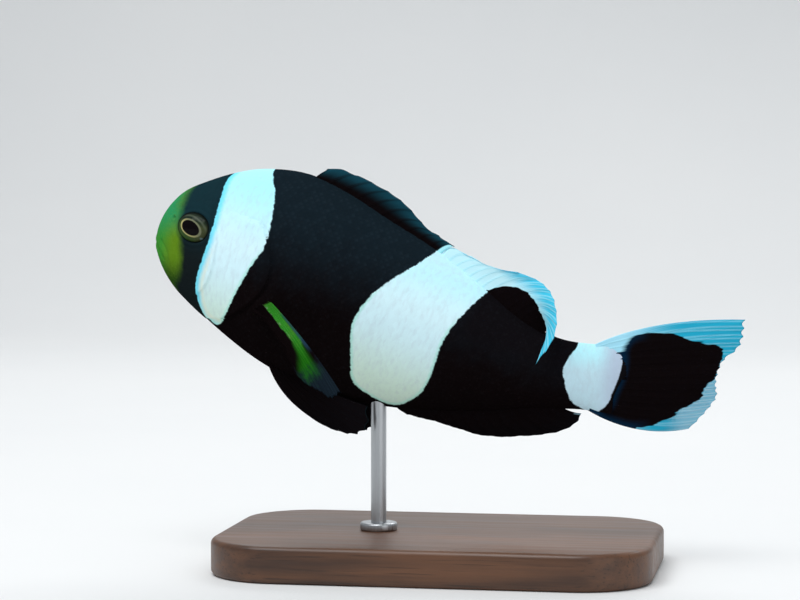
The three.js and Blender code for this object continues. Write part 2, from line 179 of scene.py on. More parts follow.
# ---- lines and patches on the flank, by distance behind the snout and height ----
def rounded(points, closed=False, steps=6):
    """A line drawn smoothly through points, as a loop if it is closed."""
    p = np.array(points, float)
    before, after = (p[-1:], p[:2]) if closed else (p[:1], p[-1:])
    padded = np.vstack([before, p, after])
    drawn = []
    for i in range(len(padded) - 3):
        a, b, c, d = padded[i:i + 4]
        for t in np.arange(steps) / steps:
            drawn.append(0.5 * (2 * b + (c - a) * t + (2 * a - 5 * b + 4 * c - d) * t * t
                                + (3 * b - a - 3 * c + d) * t ** 3))
    if not closed:
        drawn.append(p[-1])
    return np.array(drawn)


def nearest(x, z, line, closed=False):
    """For each place: its distance to a line, how far along it that is, and 1 ahead of it or -1 behind."""
    starts = line if closed else line[:-1]
    ends = np.roll(line, -1, 0) if closed else line[1:]
    best = np.full(np.shape(x), np.inf)
    share = np.zeros(np.shape(x))
    ahead = np.zeros(np.shape(x))
    walked = 0.0
    for (ax, az), (bx, bz) in zip(starts, ends):
        dx, dz = bx - ax, bz - az
        length = math.hypot(dx, dz)
        t = np.clip(((x - ax) * dx + (z - az) * dz) / max(length ** 2, 1e-12), 0, 1)
        d = np.hypot(x - ax - t * dx, z - az - t * dz)
        closer = d < best
        best = np.where(closer, d, best)
        share = np.where(closer, walked + t * length, share)
        ahead = np.where(closer, np.sign((x - ax) * dz - (z - az) * dx), ahead)
        walked += length
    return best, share / walked, ahead


def side_of(x, z, line):
    """Distance to a line, positive ahead of it, towards the snout."""
    apart, _, ahead = nearest(x, z, line)
    return apart * ahead


def within(x, z, loop):
    """How far inside a closed outline each place is; negative outside."""
    inside = np.zeros(np.shape(x), bool)
    for (ax, az), (bx, bz) in zip(loop, np.roll(loop, -1, 0)):
        if az != bz:
            crosses = ((az > z) != (bz > z)) & (x < ax + (z - az) * (bx - ax) / (bz - az))
            inside ^= crosses
    return np.where(inside, 1, -1) * nearest(x, z, loop, closed=True)[0]


HEAD_BAND_FRONT_POINTS = [
    (15.2, 21), (14.9, 18), (14.2, 14.4), (14.7, 11), (15.1, 7), (15.2, 2.8), (14.3, -2.2), (13.6, -6),
    (13.9, -9.6), (14.9, -12), (16.5, -13.6), (18.5, -14.1)]
HEAD_BAND_FRONT = rounded(HEAD_BAND_FRONT_POINTS)
HEAD_BAND = rounded(HEAD_BAND_FRONT_POINTS + [
    (20.2, -13.1), (21.6, -10.6), (22.8, -7.4), (24.0, -3.6), (25.3, 0.3), (26.5, 3.4), (26.6, 6.2),
    (25.9, 10.6), (24.8, 14.2), (23, 16.8), (21.9, 18.4), (21.4, 21)], closed=True)
SADDLE = rounded([
    (55.6, 14.2), (54.6, 12.2), (52.6, 9), (50.3, 5.8), (48.5, 2.7), (47.4, -0.2), (46.8, -2.9),
    (46.8, -5.3), (47.4, -7.6), (48.8, -12), (49.5, -14.3), (51.1, -15.9), (54, -16.8), (57.2, -17.2),
    (59.8, -16.5), (61.8, -14.6), (63.2, -12.2), (63.8, -9.2), (63.8, -5), (63.7, -2), (64.3, 1.8),
    (65.4, 5.2), (66.6, 8.2), (67.6, 10.2), (68.6, 12.4), (68, 19), (57, 20)], closed=True)
TAIL_BAND = rounded([
    (89.8, 12), (88.6, 6.2), (87.8, 4.6), (87, 2.8), (86.7, 0.8), (87.4, -1.2), (88.2, -3.2),
    (89.4, -5), (91.2, -6.2), (93.2, -7), (95.6, -4.8), (96.4, -2.4), (97.5, 0.3), (98.0, 3),
    (98.0, 5.3), (98.9, 7.6), (104, 12)], closed=True)
TAIL_DARK = rounded([
    (98.0, 3), (98.0, 5.3), (98.5, 6.9), (99.9, 8.3), (102.4, 8.9), (105.7, 9), (108.6, 8.7),
    (111.6, 7.6), (114, 7.0), (116.8, 6.2), (117.2, 4.4), (116.6, 2.6), (115.6, 0.2), (114.1, -1.2),
    (113.3, -2.4), (113.1, -3.8), (111.5, -4.6), (109.2, -6), (106.9, -7.5), (104, -8.7), (101.4, -9.3),
    (99, -9.2), (96, -8.3), (93.4, -7.2), (95.5, -4.8), (96.3, -2.5), (97.4, 0.2)], closed=True)
SNOUT_EDGE = rounded([
    (8.8, 15), (7.4, 12.4), (6.8, 10.4), (7.0, 8.4), (7.2, 6.3), (7.4, 4.2), (8.2, 1.9), (9.2, -0.9),
    (9.4, -3.6), (9.0, -6.3), (8.2, -8.7), (6.8, -12)])
SNOUT = np.vstack([SNOUT_EDGE, [(-4, -16), (-4, 18)]])

MOUTH = rounded([(0, -1.1), (1.2, -1.5), (3.0, -2.7), (5.0, -4.3)])
JAW_GROOVE = rounded([(3.2, -0.4), (5.2, -2.2), (6.1, -5.2)])
CHEEK_EDGE = rounded([(16.6, 4.5), (17.1, -1), (16.3, -5.6), (13.8, -8.9), (10.2, -10.4)])
GILL_EDGE = rounded([
    (22.4, 8.2), (24.6, 7.7), (27.4, 4.6), (28.9, 0.2), (28.2, -4.4), (25.4, -8.4), (21.4, -11.6),
    (16.5, -13.2)])
LATERAL_LINE = rounded([(27, 12.2), (36, 13.4), (46, 11.6), (56, 9.3), (66, 6.6), (73, 4.2)])
NOSTRIL_X, NOSTRIL_Z = 5.6, 4.7
FIN_LOBE_X, FIN_LOBE_Z = 28.6, -7.4     # the fleshy root of the pectoral fin


def band_depth(x, z):
    """How far inside the nearest white band each place is; negative in the black."""
    tail = np.minimum(within(x, z, TAIL_BAND), -within(x, z, TAIL_DARK))
    return np.maximum(np.maximum(within(x, z, HEAD_BAND), within(x, z, SADDLE)), tail)


# ---- relief of the skin ----
def eye_ring(x, z):
    """1 at the edge of the eyeball where the skin meets it."""
    return np.hypot((x - EYE_X) / EYE_OPEN_LONG, (z - EYE_Z) / EYE_OPEN_TALL)


def fold(edge, height, run_out, crisp):
    """A fold of skin: it rises at its edge, between the two places of crisp, and runs out ahead of it."""
    return height * smooth(*crisp, edge) * np.exp(-np.maximum(edge, 0) / run_out)


def relief(point):
    """How far the skin stands out at a point of the body, in millimetres."""
    x, _, z = np.moveaxis(point, -1, 0)
    e = eye_ring(x, z)
    # The eye's socket, a fold around it and a fainter one outside that.
    out = -1.9 * smooth(1.04, 0.88, e) + 0.34 * bell(e - 1.17, 0.13) + 0.12 * bell(e - 1.55, 0.16)

    # The slit of the mouth between two lips, which ends before its corner, and the groove of the jaw.
    gape, share, _ = nearest(x, z, MOUTH)
    above = z > np.interp(x, MOUTH[:, 0], MOUTH[:, 1])
    open_end = smooth(1.0, 0.9, share)
    lip = 0.1 * bell(gape - np.where(above, 0.8, 0.7), 0.45) * open_end
    slit = -0.36 * bell(gape, 0.14) * open_end
    groove, share, _ = nearest(x, z, JAW_GROOVE)
    out += lip + slit - 0.22 * bell(groove, 0.3) * smooth(1.0, 0.8, share)

    # The nostril is a pit in a low ring.
    nostril = np.hypot(x - NOSTRIL_X, z - NOSTRIL_Z)
    out += -0.55 * bell(nostril, 0.3) + 0.16 * bell(nostril - 0.62, 0.2)

    # The edges of the cheek and of the gill cover fade out at their upper and lower ends.
    on_cheek = smooth(5.6, 3.4, z) * smooth(-11.0, -9.6, z)
    out += fold(side_of(x, z, CHEEK_EDGE), 0.26, 2.4, (-0.12, 0.12)) * on_cheek
    gill = side_of(x, z, GILL_EDGE)
    on_gill = smooth(9.4, 7.4, z) * smooth(-14.4, -12.6, z)
    out += fold(gill, 0.42, 3.6, (-0.2, 0.14)) * on_gill
    out -= 0.2 * bell(gill + 0.35, 0.4) * on_gill

    lobe = np.hypot((x - FIN_LOBE_X) / 2.6, (z - FIN_LOBE_Z) / 3.0)
    out += 0.55 * smooth(1.4, 0.2, lobe)
    out += 0.05 * bell(nearest(x, z, LATERAL_LINE)[0], 0.35)
    return out


def skin(x, angle, lift=0.0):
    """The point of the finished skin, lift above it."""
    point = section(x, angle)
    return point + outward(x, angle) * (relief(point) - COAT + lift)[..., None]


# ---- making meshes ----
MERGE_GAP = 2e-6          # in metres


def sheet(name, across, along):
    """A flat grid to be shaped, with how far across and along it each of its points is, from 0 to 1."""
    bpy.ops.mesh.primitive_grid_add(x_subdivisions=across, y_subdivisions=along, size=1)
    piece = bpy.context.object
    piece.name = piece.data.name = name
    flat = np.empty(len(piece.data.vertices) * 3)
    piece.data.vertices.foreach_get("co", flat)
    flat = flat.reshape(-1, 3) + 0.5
    piece.data.uv_layers[0].name = "OFBake"
    return piece, flat[:, 0], flat[:, 1]


def shape(piece, points):
    """Moves every point of a piece's mesh, in order."""
    piece.data.vertices.foreach_set("co", np.asarray(points, np.float32).ravel())
    piece.data.update()


def note(mesh, name, values):
    """Keeps a number or a vector at each point of a mesh, for its material to read."""
    values = np.asarray(values, np.float32)
    vector = values.ndim > 1
    layer = mesh.attributes.new(name, "FLOAT_VECTOR" if vector else "FLOAT", "POINT")
    layer.data.foreach_set("vector" if vector else "value", values.ravel())


def close_up(piece):
    """Merges points that meet, and turns the faces outwards."""
    bpy.ops.object.select_all(action="DESELECT")
    piece.select_set(True)
    bpy.context.view_layer.objects.active = piece
    bpy.ops.object.mode_set(mode="EDIT")
    bpy.ops.mesh.select_all(action="SELECT")
    bpy.ops.mesh.remove_doubles(threshold=MERGE_GAP)
    bpy.ops.mesh.normals_make_consistent(inside=False)
    bpy.ops.object.mode_set(mode="OBJECT")
    bpy.ops.object.shade_smooth()
    piece.select_set(False)


def select_edges(piece, wanted):
    """Goes into edit mode with the edges selected whose two ends pass the test."""
    bpy.context.view_layer.objects.active = piece
    bpy.ops.object.mode_set(mode="EDIT")
    bpy.ops.mesh.select_mode(type="EDGE")
    bpy.ops.mesh.select_all(action="DESELECT")
    mesh = bmesh.from_edit_mesh(piece.data)
    for edge in mesh.edges:
        edge.select = wanted(*(end.co for end in edge.verts))
    bmesh.update_edit_mesh(piece.data)


def finish_piece(piece, material, slot, *replaced):
    """Gives a piece its material; the slot is not used. It rides with the model and may stand for CAD
    nodes.
    """
    piece.data.materials.clear()
    piece.data.materials.append(material)
    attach(piece, "root")
    if replaced:
        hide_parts(*replaced)
    return piece


# ---- node helpers ----
class Nodes:
    """Short ways of adding nodes to a material or a group."""

    def __init__(self, tree):
        self.tree = tree

    def add(self, kind, given=(), **settings):
        """Adds a node, with values or links for its inputs, and gives back its outputs."""
        node = self.tree.nodes.new(kind)
        for key, value in settings.items():
            setattr(node, key, value)
        for key, value in dict(given).items():
            self.link(value, node.inputs[key])
        return node.outputs

    def link(self, value, socket):
        if isinstance(value, bpy.types.NodeSocket):
            self.tree.links.new(value, socket)
        elif isinstance(value, (tuple, list)) and len(value) == 3 and socket.type == "RGBA":
            socket.default_value = (*value, 1)
        else:
            socket.default_value = value

    def math(self, operation, a, b=0.0):
        return self.add("ShaderNodeMath", {0: a, 1: b}, operation=operation)[0]

    def plus(self, a, b):
        return self.math("ADD", a, b)

    def minus(self, a, b):
        return self.math("SUBTRACT", a, b)

    def times(self, a, b):
        return self.math("MULTIPLY", a, b)

    def around(self, value, centre, far, near):
        """1 within near of the centre, easing to 0 as far away as far."""
        return self.step(self.math("ABSOLUTE", self.minus(value, centre)), far, near)

    def step(self, value, low, high, to_low=0.0, to_high=1.0):
        """value's place between low and high, eased, as a number from to_low to to_high."""
        given = enumerate((value, low, high, to_low, to_high))
        return self.add("ShaderNodeMapRange", given, interpolation_type="SMOOTHSTEP")[0]

    def mix(self, mask, a, b, blend="MIX"):
        return self.add("ShaderNodeMix", {0: mask, 6: a, 7: b}, data_type="RGBA", blend_type=blend)[2]

    def vector(self, name):
        return self.add("ShaderNodeAttribute", attribute_name=name)["Vector"]

    def number(self, name):
        return self.add("ShaderNodeAttribute", attribute_name=name)["Fac"]

    def place(self):
        return self.add("ShaderNodeTexCoord")["Object"]

    def noise(self, vector, scale, detail=3.0, roughness=0.55):
        given = {"Vector": vector, "Scale": scale, "Detail": detail, "Roughness": roughness}
        return self.add("ShaderNodeTexNoise", given)[0]

    def scaled(self, vector, by):
        return self.add("ShaderNodeVectorMath", {0: vector, 1: by}, operation="MULTIPLY")[0]

    def parts(self, vector, names="XYZ"):
        outputs = self.add("ShaderNodeSeparateXYZ", {0: vector})
        return [outputs[name] for name in names]

    def bump(self, height, strength, depth):
        return self.add("ShaderNodeBump", {"Strength": strength, "Distance": depth, "Height": height})[0]

    def use(self, group, **values):
        given = {key.replace("_", " "): value for key, value in values.items()}
        return self.add("ShaderNodeGroup", given, node_tree=group)


def colour(r, g, b):
    """A paint colour given as on a colour chart, from 0 to 255."""
    def linear(c):
        c /= 255
        return c / 12.92 if c <= 0.04045 else ((c + 0.055) / 1.055) ** 2.4
    return linear(r), linear(g), linear(b)


def new_group(name, inputs, outputs):
    """A shader group; inputs are (name, kind, value) and outputs (name, kind)."""
    tree = bpy.data.node_groups.new(name, "ShaderNodeTree")
    for label, kind, value in inputs:
        socket = tree.interface.new_socket(label, in_out="INPUT", socket_type="NodeSocket" + kind)
        socket.default_value = value
    for label, kind in outputs:
        tree.interface.new_socket(label, in_out="OUTPUT", socket_type="NodeSocket" + kind)
    given = tree.nodes.new("NodeGroupInput").outputs
    out = tree.nodes.new("NodeGroupOutput").inputs
    return tree, Nodes(tree), given, out


def new_material(name, **plain):
    """A material, and the plain values of its shader."""
    material = bpy.data.materials.new(name)
    material.use_nodes = True
    shader = material.node_tree.nodes["Principled BSDF"].inputs
    for label, value in plain.items():
        shader[label.replace("_", " ")].default_value = value
    return material, Nodes(material.node_tree), shader


# ---- the paint of body and scales ----
SHEEN = 0.0               # the specular level of skin, scales, fins and eyes, which are dull

BLACK_LOW = colour(14, 9, 10)
# painted sheen of the back: a lighter, bluer black
BLACK_BACK_SHEEN = colour(20, 31, 38)
BLACK_REAR = colour(16, 14, 17)
BLACK_CHEEK = colour(22, 29, 31)
# painted sheen of the forehead: a lighter, bluer black
BLACK_FOREHEAD_SHEEN = colour(22, 46, 53)
BLACK_FLECK = (0.02, 0.02, 0.022)
# painted highlight at the centre of each scale
SCALE_HIGHLIGHT = colour(32, 43, 51)
WHITE_TOP = colour(172, 239, 250)
WHITE_MIDDLE = colour(212, 243, 251)
WHITE_LOW = colour(212, 238, 222)
WHITE_STREAK = colour(176, 190, 204)
WHITE_TAIL = colour(196, 228, 240)
WHITE_TAIL_TOP = colour(186, 242, 252)
WHITE_TAIL_END = colour(184, 202, 222)
EDGE_BLUE = colour(104, 222, 250)
EDGE_CREAM = colour(226, 232, 212)
EDGE_MINT = colour(156, 228, 212)
SNOUT_TOP = colour(40, 142, 90)
SNOUT_MIDDLE = colour(54, 136, 50)
SNOUT_OLIVE = colour(92, 131, 28)
SNOUT_LOW = colour(32, 62, 22)
SNOUT_BROW = colour(66, 112, 42)
SNOUT_FLECK = colour(112, 150, 50)
FIN_WHITE = colour(196, 240, 250)


def paint_white(n, rest, x, z, depth, ragged):
    """The white bands, by height, with a cream, a mint and a blue edge."""
    pale = n.mix(n.step(z, -15.0, -1.0), WHITE_LOW, WHITE_MIDDLE)
    pale = n.mix(n.step(z, 2.0, 16.0), pale, WHITE_TOP)
    saddle_top = n.times(n.step(x, 40.0, 50.0), n.step(z, 7.0, 13.0))
    pale = n.mix(saddle_top, pale, FIN_WHITE)
    ring = n.mix(n.step(z, 0.5, 5.5), WHITE_TAIL, WHITE_TAIL_TOP)
    ring = n.mix(n.step(x, 92.5, 97.0), ring, WHITE_TAIL_END)
    pale = n.mix(n.step(x, 72.0, 90.0), pale, ring)
    streaks = n.noise(n.scaled(rest, (1.6, 1.6, 0.5)), 0.9, 4.0)
    pale = n.mix(n.step(streaks, 0.42, 0.72, 0.0, 0.2), pale, WHITE_STREAK)
    front = n.plus(n.number("front"), ragged)
    cream = n.times(n.step(front, 2.3, 1.5), n.step(z, 3.0, -4.0, 0.0, 0.5))
    pale = n.mix(cream, pale, EDGE_CREAM)
    mint = n.times(n.step(depth, 0.75, 0.2, 0.0, 0.55), n.step(z, 6.0, 0.0))
    mint = n.times(mint, n.step(x, 78.0, 72.0))
    pale = n.mix(mint, pale, EDGE_MINT)
    blue = n.times(n.step(front, 1.6, 0.35, 0.0, 0.85), n.step(z, -13.0, -9.0, 0.3, 1.0))
    return n.mix(blue, pale, EDGE_BLUE)


def paint_black(n, x, z, coarse, fine, scale_highlight):
    """The black, with a painted sheen that makes it lighter and bluer towards the back and on the forehead,
    and a painted highlight that makes it lighter at each scale's centre.
    """
    # Painted sheen: the black turns lighter and bluer upwards, towards the back.
    height = n.plus(z, n.times(coarse, 8.0))
    black = n.mix(n.step(height, -2.0, 18.0), BLACK_LOW, BLACK_BACK_SHEEN)
    rear = n.times(n.step(x, 62.0, 68.0), n.step(z, -3.0, 3.0))
    black = n.mix(rear, black, BLACK_REAR)
    # Painted sheen on the forehead: the face's black is lighter and bluer above than on the cheek.
    face = n.mix(n.step(z, -3.0, 7.0), BLACK_CHEEK, BLACK_FOREHEAD_SHEEN)
    black = n.mix(n.step(x, 18.0, 13.0), black, face)
    black = n.mix(n.step(fine, 0.5, 0.8, 0.0, 0.16), black, BLACK_FLECK)
    # A painted highlight at each scale's centre, stronger on the upper flank and fainter towards the tail.
    light = n.times(n.step(z, -3.0, 14.0, 0.04, 0.3), n.step(x, 60.0, 68.0, 1.0, 0.25))
    return n.mix(n.times(scale_highlight, light), black, SCALE_HIGHLIGHT)


def paint_snout(n, x, z, fine):
    """The green of the snout, olive in front of the eye and dark at the throat."""
    green = n.mix(n.step(x, 2.5, 7.0), SNOUT_MIDDLE, SNOUT_OLIVE)
    green = n.mix(n.step(z, -2.4, -8.4), green, SNOUT_LOW)
    upper = n.step(n.plus(z, n.times(x, -0.35)), -2.0, 5.0)
    green = n.mix(upper, green, SNOUT_TOP)
    brow = n.times(n.step(x, 3.6, 6.8), n.step(z, 4.5, 8.0, 0.0, 0.8))
    green = n.mix(brow, green, SNOUT_BROW)
    return n.mix(n.step(fine, 0.4, 0.75, 0.0, 0.22), green, SNOUT_FLECK)


def make_body_paint():
    """The fish's colours, by place on the body. Depth is how far inside a white band a place is."""
    tree, n, given, out = new_group(
        "Body paint", [("Speckle", "Float", 0.0), ("Scale Centre", "Float", 0.0)], [("Color", "Color")])
    rest = n.vector("rest")
    x, z = n.parts(rest, "XZ")
    coarse = n.noise(rest, 0.35)
    fine = n.noise(rest, 2.4)
    ragged = n.times(n.minus(n.noise(rest, 1.6, 2.0), 0.5), 0.4)
    depth = n.plus(n.number("band"), ragged)

    white = paint_white(n, rest, x, z, depth, ragged)
    black = paint_black(n, x, z, coarse, fine, given["Scale Centre"])
    snout_depth = n.plus(n.number("snout"), n.times(n.minus(coarse, 0.5), 1.6))
    dark = n.mix(n.step(snout_depth, -1.1, 1.5), black, paint_snout(n, x, z, fine))
    dark = n.mix(1.0, dark, n.step(given["Speckle"], 0.0, 1.0, 0.93, 1.05), "MULTIPLY")
    white = n.mix(1.0, white, n.step(given["Speckle"], 0.0, 1.0, 0.985, 1.01), "MULTIPLY")
    n.link(n.mix(n.step(depth, -0.1, 0.14), dark, white), out["Color"])
    return tree


BODY_PAINT = make_body_paint()


def make_skin_finish():
    material, n, shader = new_material("fish_skin", Specular_IOR_Level=SHEEN)
    rest = n.vector("rest")
    painted = n.use(BODY_PAINT, Speckle=n.noise(rest, 1.4))
    n.link(painted["Color"], shader["Base Color"])
    pores = n.noise(rest, 3.2, 4.0, 0.6)
    n.link(n.step(pores, 0.3, 0.8, 0.38, 0.56), shader["Roughness"])
    n.link(n.bump(pores, 0.35, 0.00012), shader["Normal"])
    return material


SCALE_CENTRE = 0.76       # how far along a scale its painted highlight is centred
GROWTH_RINGS = 46.0
COMB_TEETH = 30.0


def make_scale_finish():
    """The body's paint, with growth rings over each scale and a comb at its rear edge."""
    material, n, shader = new_material("fish_scales", Specular_IOR_Level=SHEEN)
    across, lengthwise, tint = n.parts(n.vector("blade"))
    off = n.math("ABSOLUTE", n.minus(lengthwise, SCALE_CENTRE))
    from_centre = n.plus(n.times(n.math("ABSOLUTE", across), 0.38), off)
    # Where each scale's painted highlight lies, and how strong it is on this scale.
    centre = n.times(n.step(from_centre, 0.3, 0.08), n.step(tint, 0.2, 1.0, 0.2, 1.0))
    painted = n.use(BODY_PAINT, Speckle=tint, Scale_Centre=centre)
    n.link(painted["Color"], shader["Base Color"])
    rings = n.math("SINE", n.times(n.plus(lengthwise, n.times(off, 0.2)), GROWTH_RINGS))
    comb = n.math("SINE", n.times(across, COMB_TEETH))
    grooves = n.plus(n.times(rings, 0.5), n.times(comb, n.step(lengthwise, 0.75, 1.0, 0.1, 0.8)))
    n.link(n.bump(grooves, 0.25, 0.00003), shader["Normal"])
    n.link(n.step(tint, 0.0, 1.0, 0.34, 0.46), shader["Roughness"])
    return material


# ---- skin ----
SKIN_ALONG, SKIN_AROUND = 320, 288
CLOSING_ROWS = 4          # the last rows close the end of the flesh, under the tail fin
END_BULGE = 0.5           # how far that end bulges
SNOUT_FINER = 0.62        # at the snout the rows lie this share closer together


def keep_marks(mesh, points):
    """Notes each point's place on the straight fish, and its depth in the markings."""
    x, _, z = np.moveaxis(points, -1, 0)
    note(mesh, "rest", points)
    note(mesh, "band", band_depth(x, z))
    note(mesh, "front", nearest(x, z, HEAD_BAND_FRONT)[0])
    note(mesh, "snout", within(x, z, SNOUT))


def make_skin():
    piece, u, v = sheet("skin", SKIN_AROUND, SKIN_ALONG)
    angle = u * TAU
    open_part = 1 - CLOSING_ROWS / SKIN_ALONG
    t = np.clip(v / open_part, 0, 1)
    x = np.maximum(BODY_END * (SNOUT_FINER * t ** 2 + (1 - SNOUT_FINER) * t), 1e-4)
    closing = np.clip((v - open_part) / (1 - open_part), 0, 1)
    points = skin(x, angle)
    tip = v < 1e-6
    points[tip] = (COAT, 0, 0)
    points[:, 0] += END_BULGE * closing
    points[:, 1] *= np.sqrt(np.maximum(1 - closing ** 2, 0))
    points[:, 2] *= np.where(closing < 1, 1 - 0.12 * closing, 0)
    shape(piece, bend(points))
    keep_marks(piece.data, section(x, angle))
    close_up(piece)
    return finish_piece(piece, make_skin_finish(), "skin",
                        "head", "lower_jaw", "gill_cover_left", "gill_cover_right", "trunk", "tail")


# ---- scales ----
SCALES_FROM = 11.0
SCALE_GRID = 5
SCALE_GAP = 0.62          # from one column of scales to the next, on the flank
SCALE_ROW = 2.5           # from one row to the next, in column spacings
SCALE_LENGTH = 3.1        # a scale's length, in column spacings
SCALE_AHEAD = 0.7         # the share of its length that lies ahead of its place
SCALE_COVER = 1.0528      # its width, as a share of the row spacing
SCALE_PROUD = 0.034       # how steeply it rises towards its rear edge
SCALE_HELD = 0.36         # how far along it meets the skin
RIM_DROP = 0.012          # how far its rim curls in
FACE_BARE = 1.75          # no scales grow this near the eye, in half sizes of its opening
SNOUT_BARE = 4.0          # nor this near the green of the snout
MARK_SHIFT = 0.22         # a scale takes its markings this share of the way nearer to its own centre
RING_STEPS = 720          # steps in which the flank is measured from back to belly

scale_size = curve([(11, 0.62), (16, 0.72), (24, 0.86), (32, 1.0), (60, 1.0), (80, 0.84), (96, 0.6)])


def scale_places():
    """(x, angle, size) of each scale on the right flank, in slanting rows."""
    placed = []
    fine = np.linspace(0, math.pi, RING_STEPS + 1)
    x, column = SCALES_FROM, 0
    while x < BODY_END - 0.5:
        size = float(scale_size(x)) * SCALE_GAP
        ring = section(np.full(fine.shape, x), fine)
        walk = np.concatenate([[0], np.cumsum(np.linalg.norm(np.diff(ring, axis=0), axis=1))])
        middle = np.interp(math.pi / 2, fine, walk)
        row = size * SCALE_ROW
        shift = 0.5 * (column % 2)
        first = math.ceil(-middle / row - shift)
        last = math.floor((walk[-1] - middle) / row - shift)
        for j in range(first, last + 1):
            placed.append((x, np.interp(middle + (j + shift) * row, walk, fine), size))
        x += size
        column += 1
    x, angle, size = np.array(placed).T
    z = section(x, angle)[:, 2]
    bare = eye_ring(x, z) < FACE_BARE
    bare |= within(x, z, SNOUT) > -SNOUT_BARE
    throat = (z < -8) & (x < 16)
    bare |= throat
    return x[~bare], angle[~bare], size[~bare]


def make_scales(name, side, material):
    """A coat of scales for one flank, as one mesh; side is 1 on the right and -1 on the left."""
    rng = np.random.default_rng(7 if side > 0 else 8)
    x0, angle0, size = scale_places()
    count = len(x0)
    a, b = np.meshgrid(np.linspace(-1, 1, SCALE_GRID), np.linspace(0, 1, SCALE_GRID + 1))
    a, b = a.ravel(), b.ravel()
    rim = (np.abs(a) > 0.99) | (b < 0.01) | (b > 0.99)
    across = np.clip(a * 1.7, -1, 1)
    lengthwise = np.clip(b * 1.2 - 0.06, 0, 1)

    # A scale is widest in its middle and round behind, and its rear edge stands a little proud.
    taper = 1 - np.clip(lengthwise - 0.5, 0, 1) ** 2 * 3.4
    width = np.sqrt(np.clip(taper, 0.02, 1)) * smooth(-0.4, 0.3, lengthwise)
    rear = 1 - 0.2 * across ** 2 * lengthwise ** 2
    length = (SCALE_LENGTH * size * rng.uniform(0.97, 1.03, count))[:, None]
    strayed = rng.normal(0, 0.02, count)[:, None]
    x = x0[:, None] + length * (lengthwise * rear - SCALE_AHEAD) + strayed
    x = np.clip(x, 1.0, BODY_END + 0.6)
    e = 0.02
    radius = np.linalg.norm(section(x0, angle0 + e) - section(x0, angle0 - e), axis=-1) / (2 * e)
    half = SCALE_COVER * size * SCALE_ROW / 2
    angle = angle0[:, None] + (half / radius)[:, None] * across * width
    proud = SCALE_PROUD * size[:, None] * (lengthwise - SCALE_HELD) - 0.004 * across ** 2
    points = skin(x, angle, np.where(rim, proud - RIM_DROP, proud))

    straight = section(x, angle)
    centre = section(x0 + 0.1, angle0)[:, None, :]
    marked = straight + (centre - straight) * MARK_SHIFT
    if side < 0:
        points[..., 1] *= -1
        marked[..., 1] *= -1

    i, j = np.meshgrid(np.arange(SCALE_GRID - 1), np.arange(SCALE_GRID))
    corner = (j * SCALE_GRID + i).ravel()
    quads = np.stack([corner, corner + 1, corner + 1 + SCALE_GRID, corner + SCALE_GRID], -1)
    if side > 0:
        quads = quads[:, ::-1]
    faces = (np.arange(count)[:, None, None] * len(a) + quads).reshape(-1, 4)
    mesh = bpy.data.meshes.new(name)
    mesh.from_pydata(bend(points).reshape(-1, 3), [], faces)
    piece = bpy.data.objects.new(name, mesh)
    bpy.context.scene.collection.objects.link(piece)
    keep_marks(mesh, marked.reshape(-1, 3))
    tint = np.repeat(rng.uniform(0, 1, count), len(a))
    note(mesh, "blade", np.stack([np.tile(across, count), np.tile(lengthwise, count), tint], -1))

    # In the UV map each scale has a small patch of its own, by its place on the flank.
    patch = np.stack([x0 / (BODY_END + 2), 0.5 + side * angle0 / TAU], -1)[:, None] * 0.98 + 0.01
    patch = patch + np.stack([b - 0.5, a / 2], -1) * 0.003
    layer = mesh.uv_layers.new(name="OFBake")
    layer.data.foreach_set("uv", patch.reshape(-1, 2)[faces.ravel()].astype(np.float32).ravel())
    mesh.shade_flat()
    return finish_piece(piece, material, "skin")


# ---- the forms of the fins ----
def fin_shape(base, over, tip, side=1):
    """The middle surface of a fin. Its ray at a, from 0 to 1, bends from base by way of over to tip.

    Each of the three is a line across the rays, with a curve or a plain number for x, y and z.
    """
    def trace(line, a):
        return np.stack(np.broadcast_arrays(*(c(a) if callable(c) else c + 0 * a for c in line)), -1)

    def at(a, t):
        start, way, end = (trace(line, a) for line in (base, over, tip))
        t = t[..., None]
        return (start * (1 - t) ** 2 + 2 * way * t * (1 - t) + end * t * t) * (1, side, 1)
    return at


def spiny_dorsal():
    def root(a):
        return 29 + 27.2 * a
    reach = curve([(0, 2.4), (0.12, 4.4), (0.3, 6.0), (0.6, 5.6), (0.85, 3.7), (1, 2.3)])
    rise = curve([(0, 0.5), (0.15, 1.2), (0.4, 1.7), (1, 1.4)])
    margin = curve([
        (29.6, 19.5), (30.7, 20.5), (31.5, 21.2), (32.4, 21.7), (34.1, 22.2), (36, 21.8), (37.5, 22.0),
        (40.2, 21.6), (43.3, 21.1), (46.4, 20.3), (48, 19.6), (50.5, 18.1), (53.3, 16.7), (55.6, 16.3),
        (58, 16.0)])
    return fin_shape(
        base=(root, 0, lambda a: back(root(a)) - 1.4),
        over=(lambda a: root(a) + 0.35 * reach(a), 0, lambda a: back(root(a)) + rise(a)),
        tip=(lambda a: root(a) + reach(a), -0.2, lambda a: margin(root(a) + reach(a))))


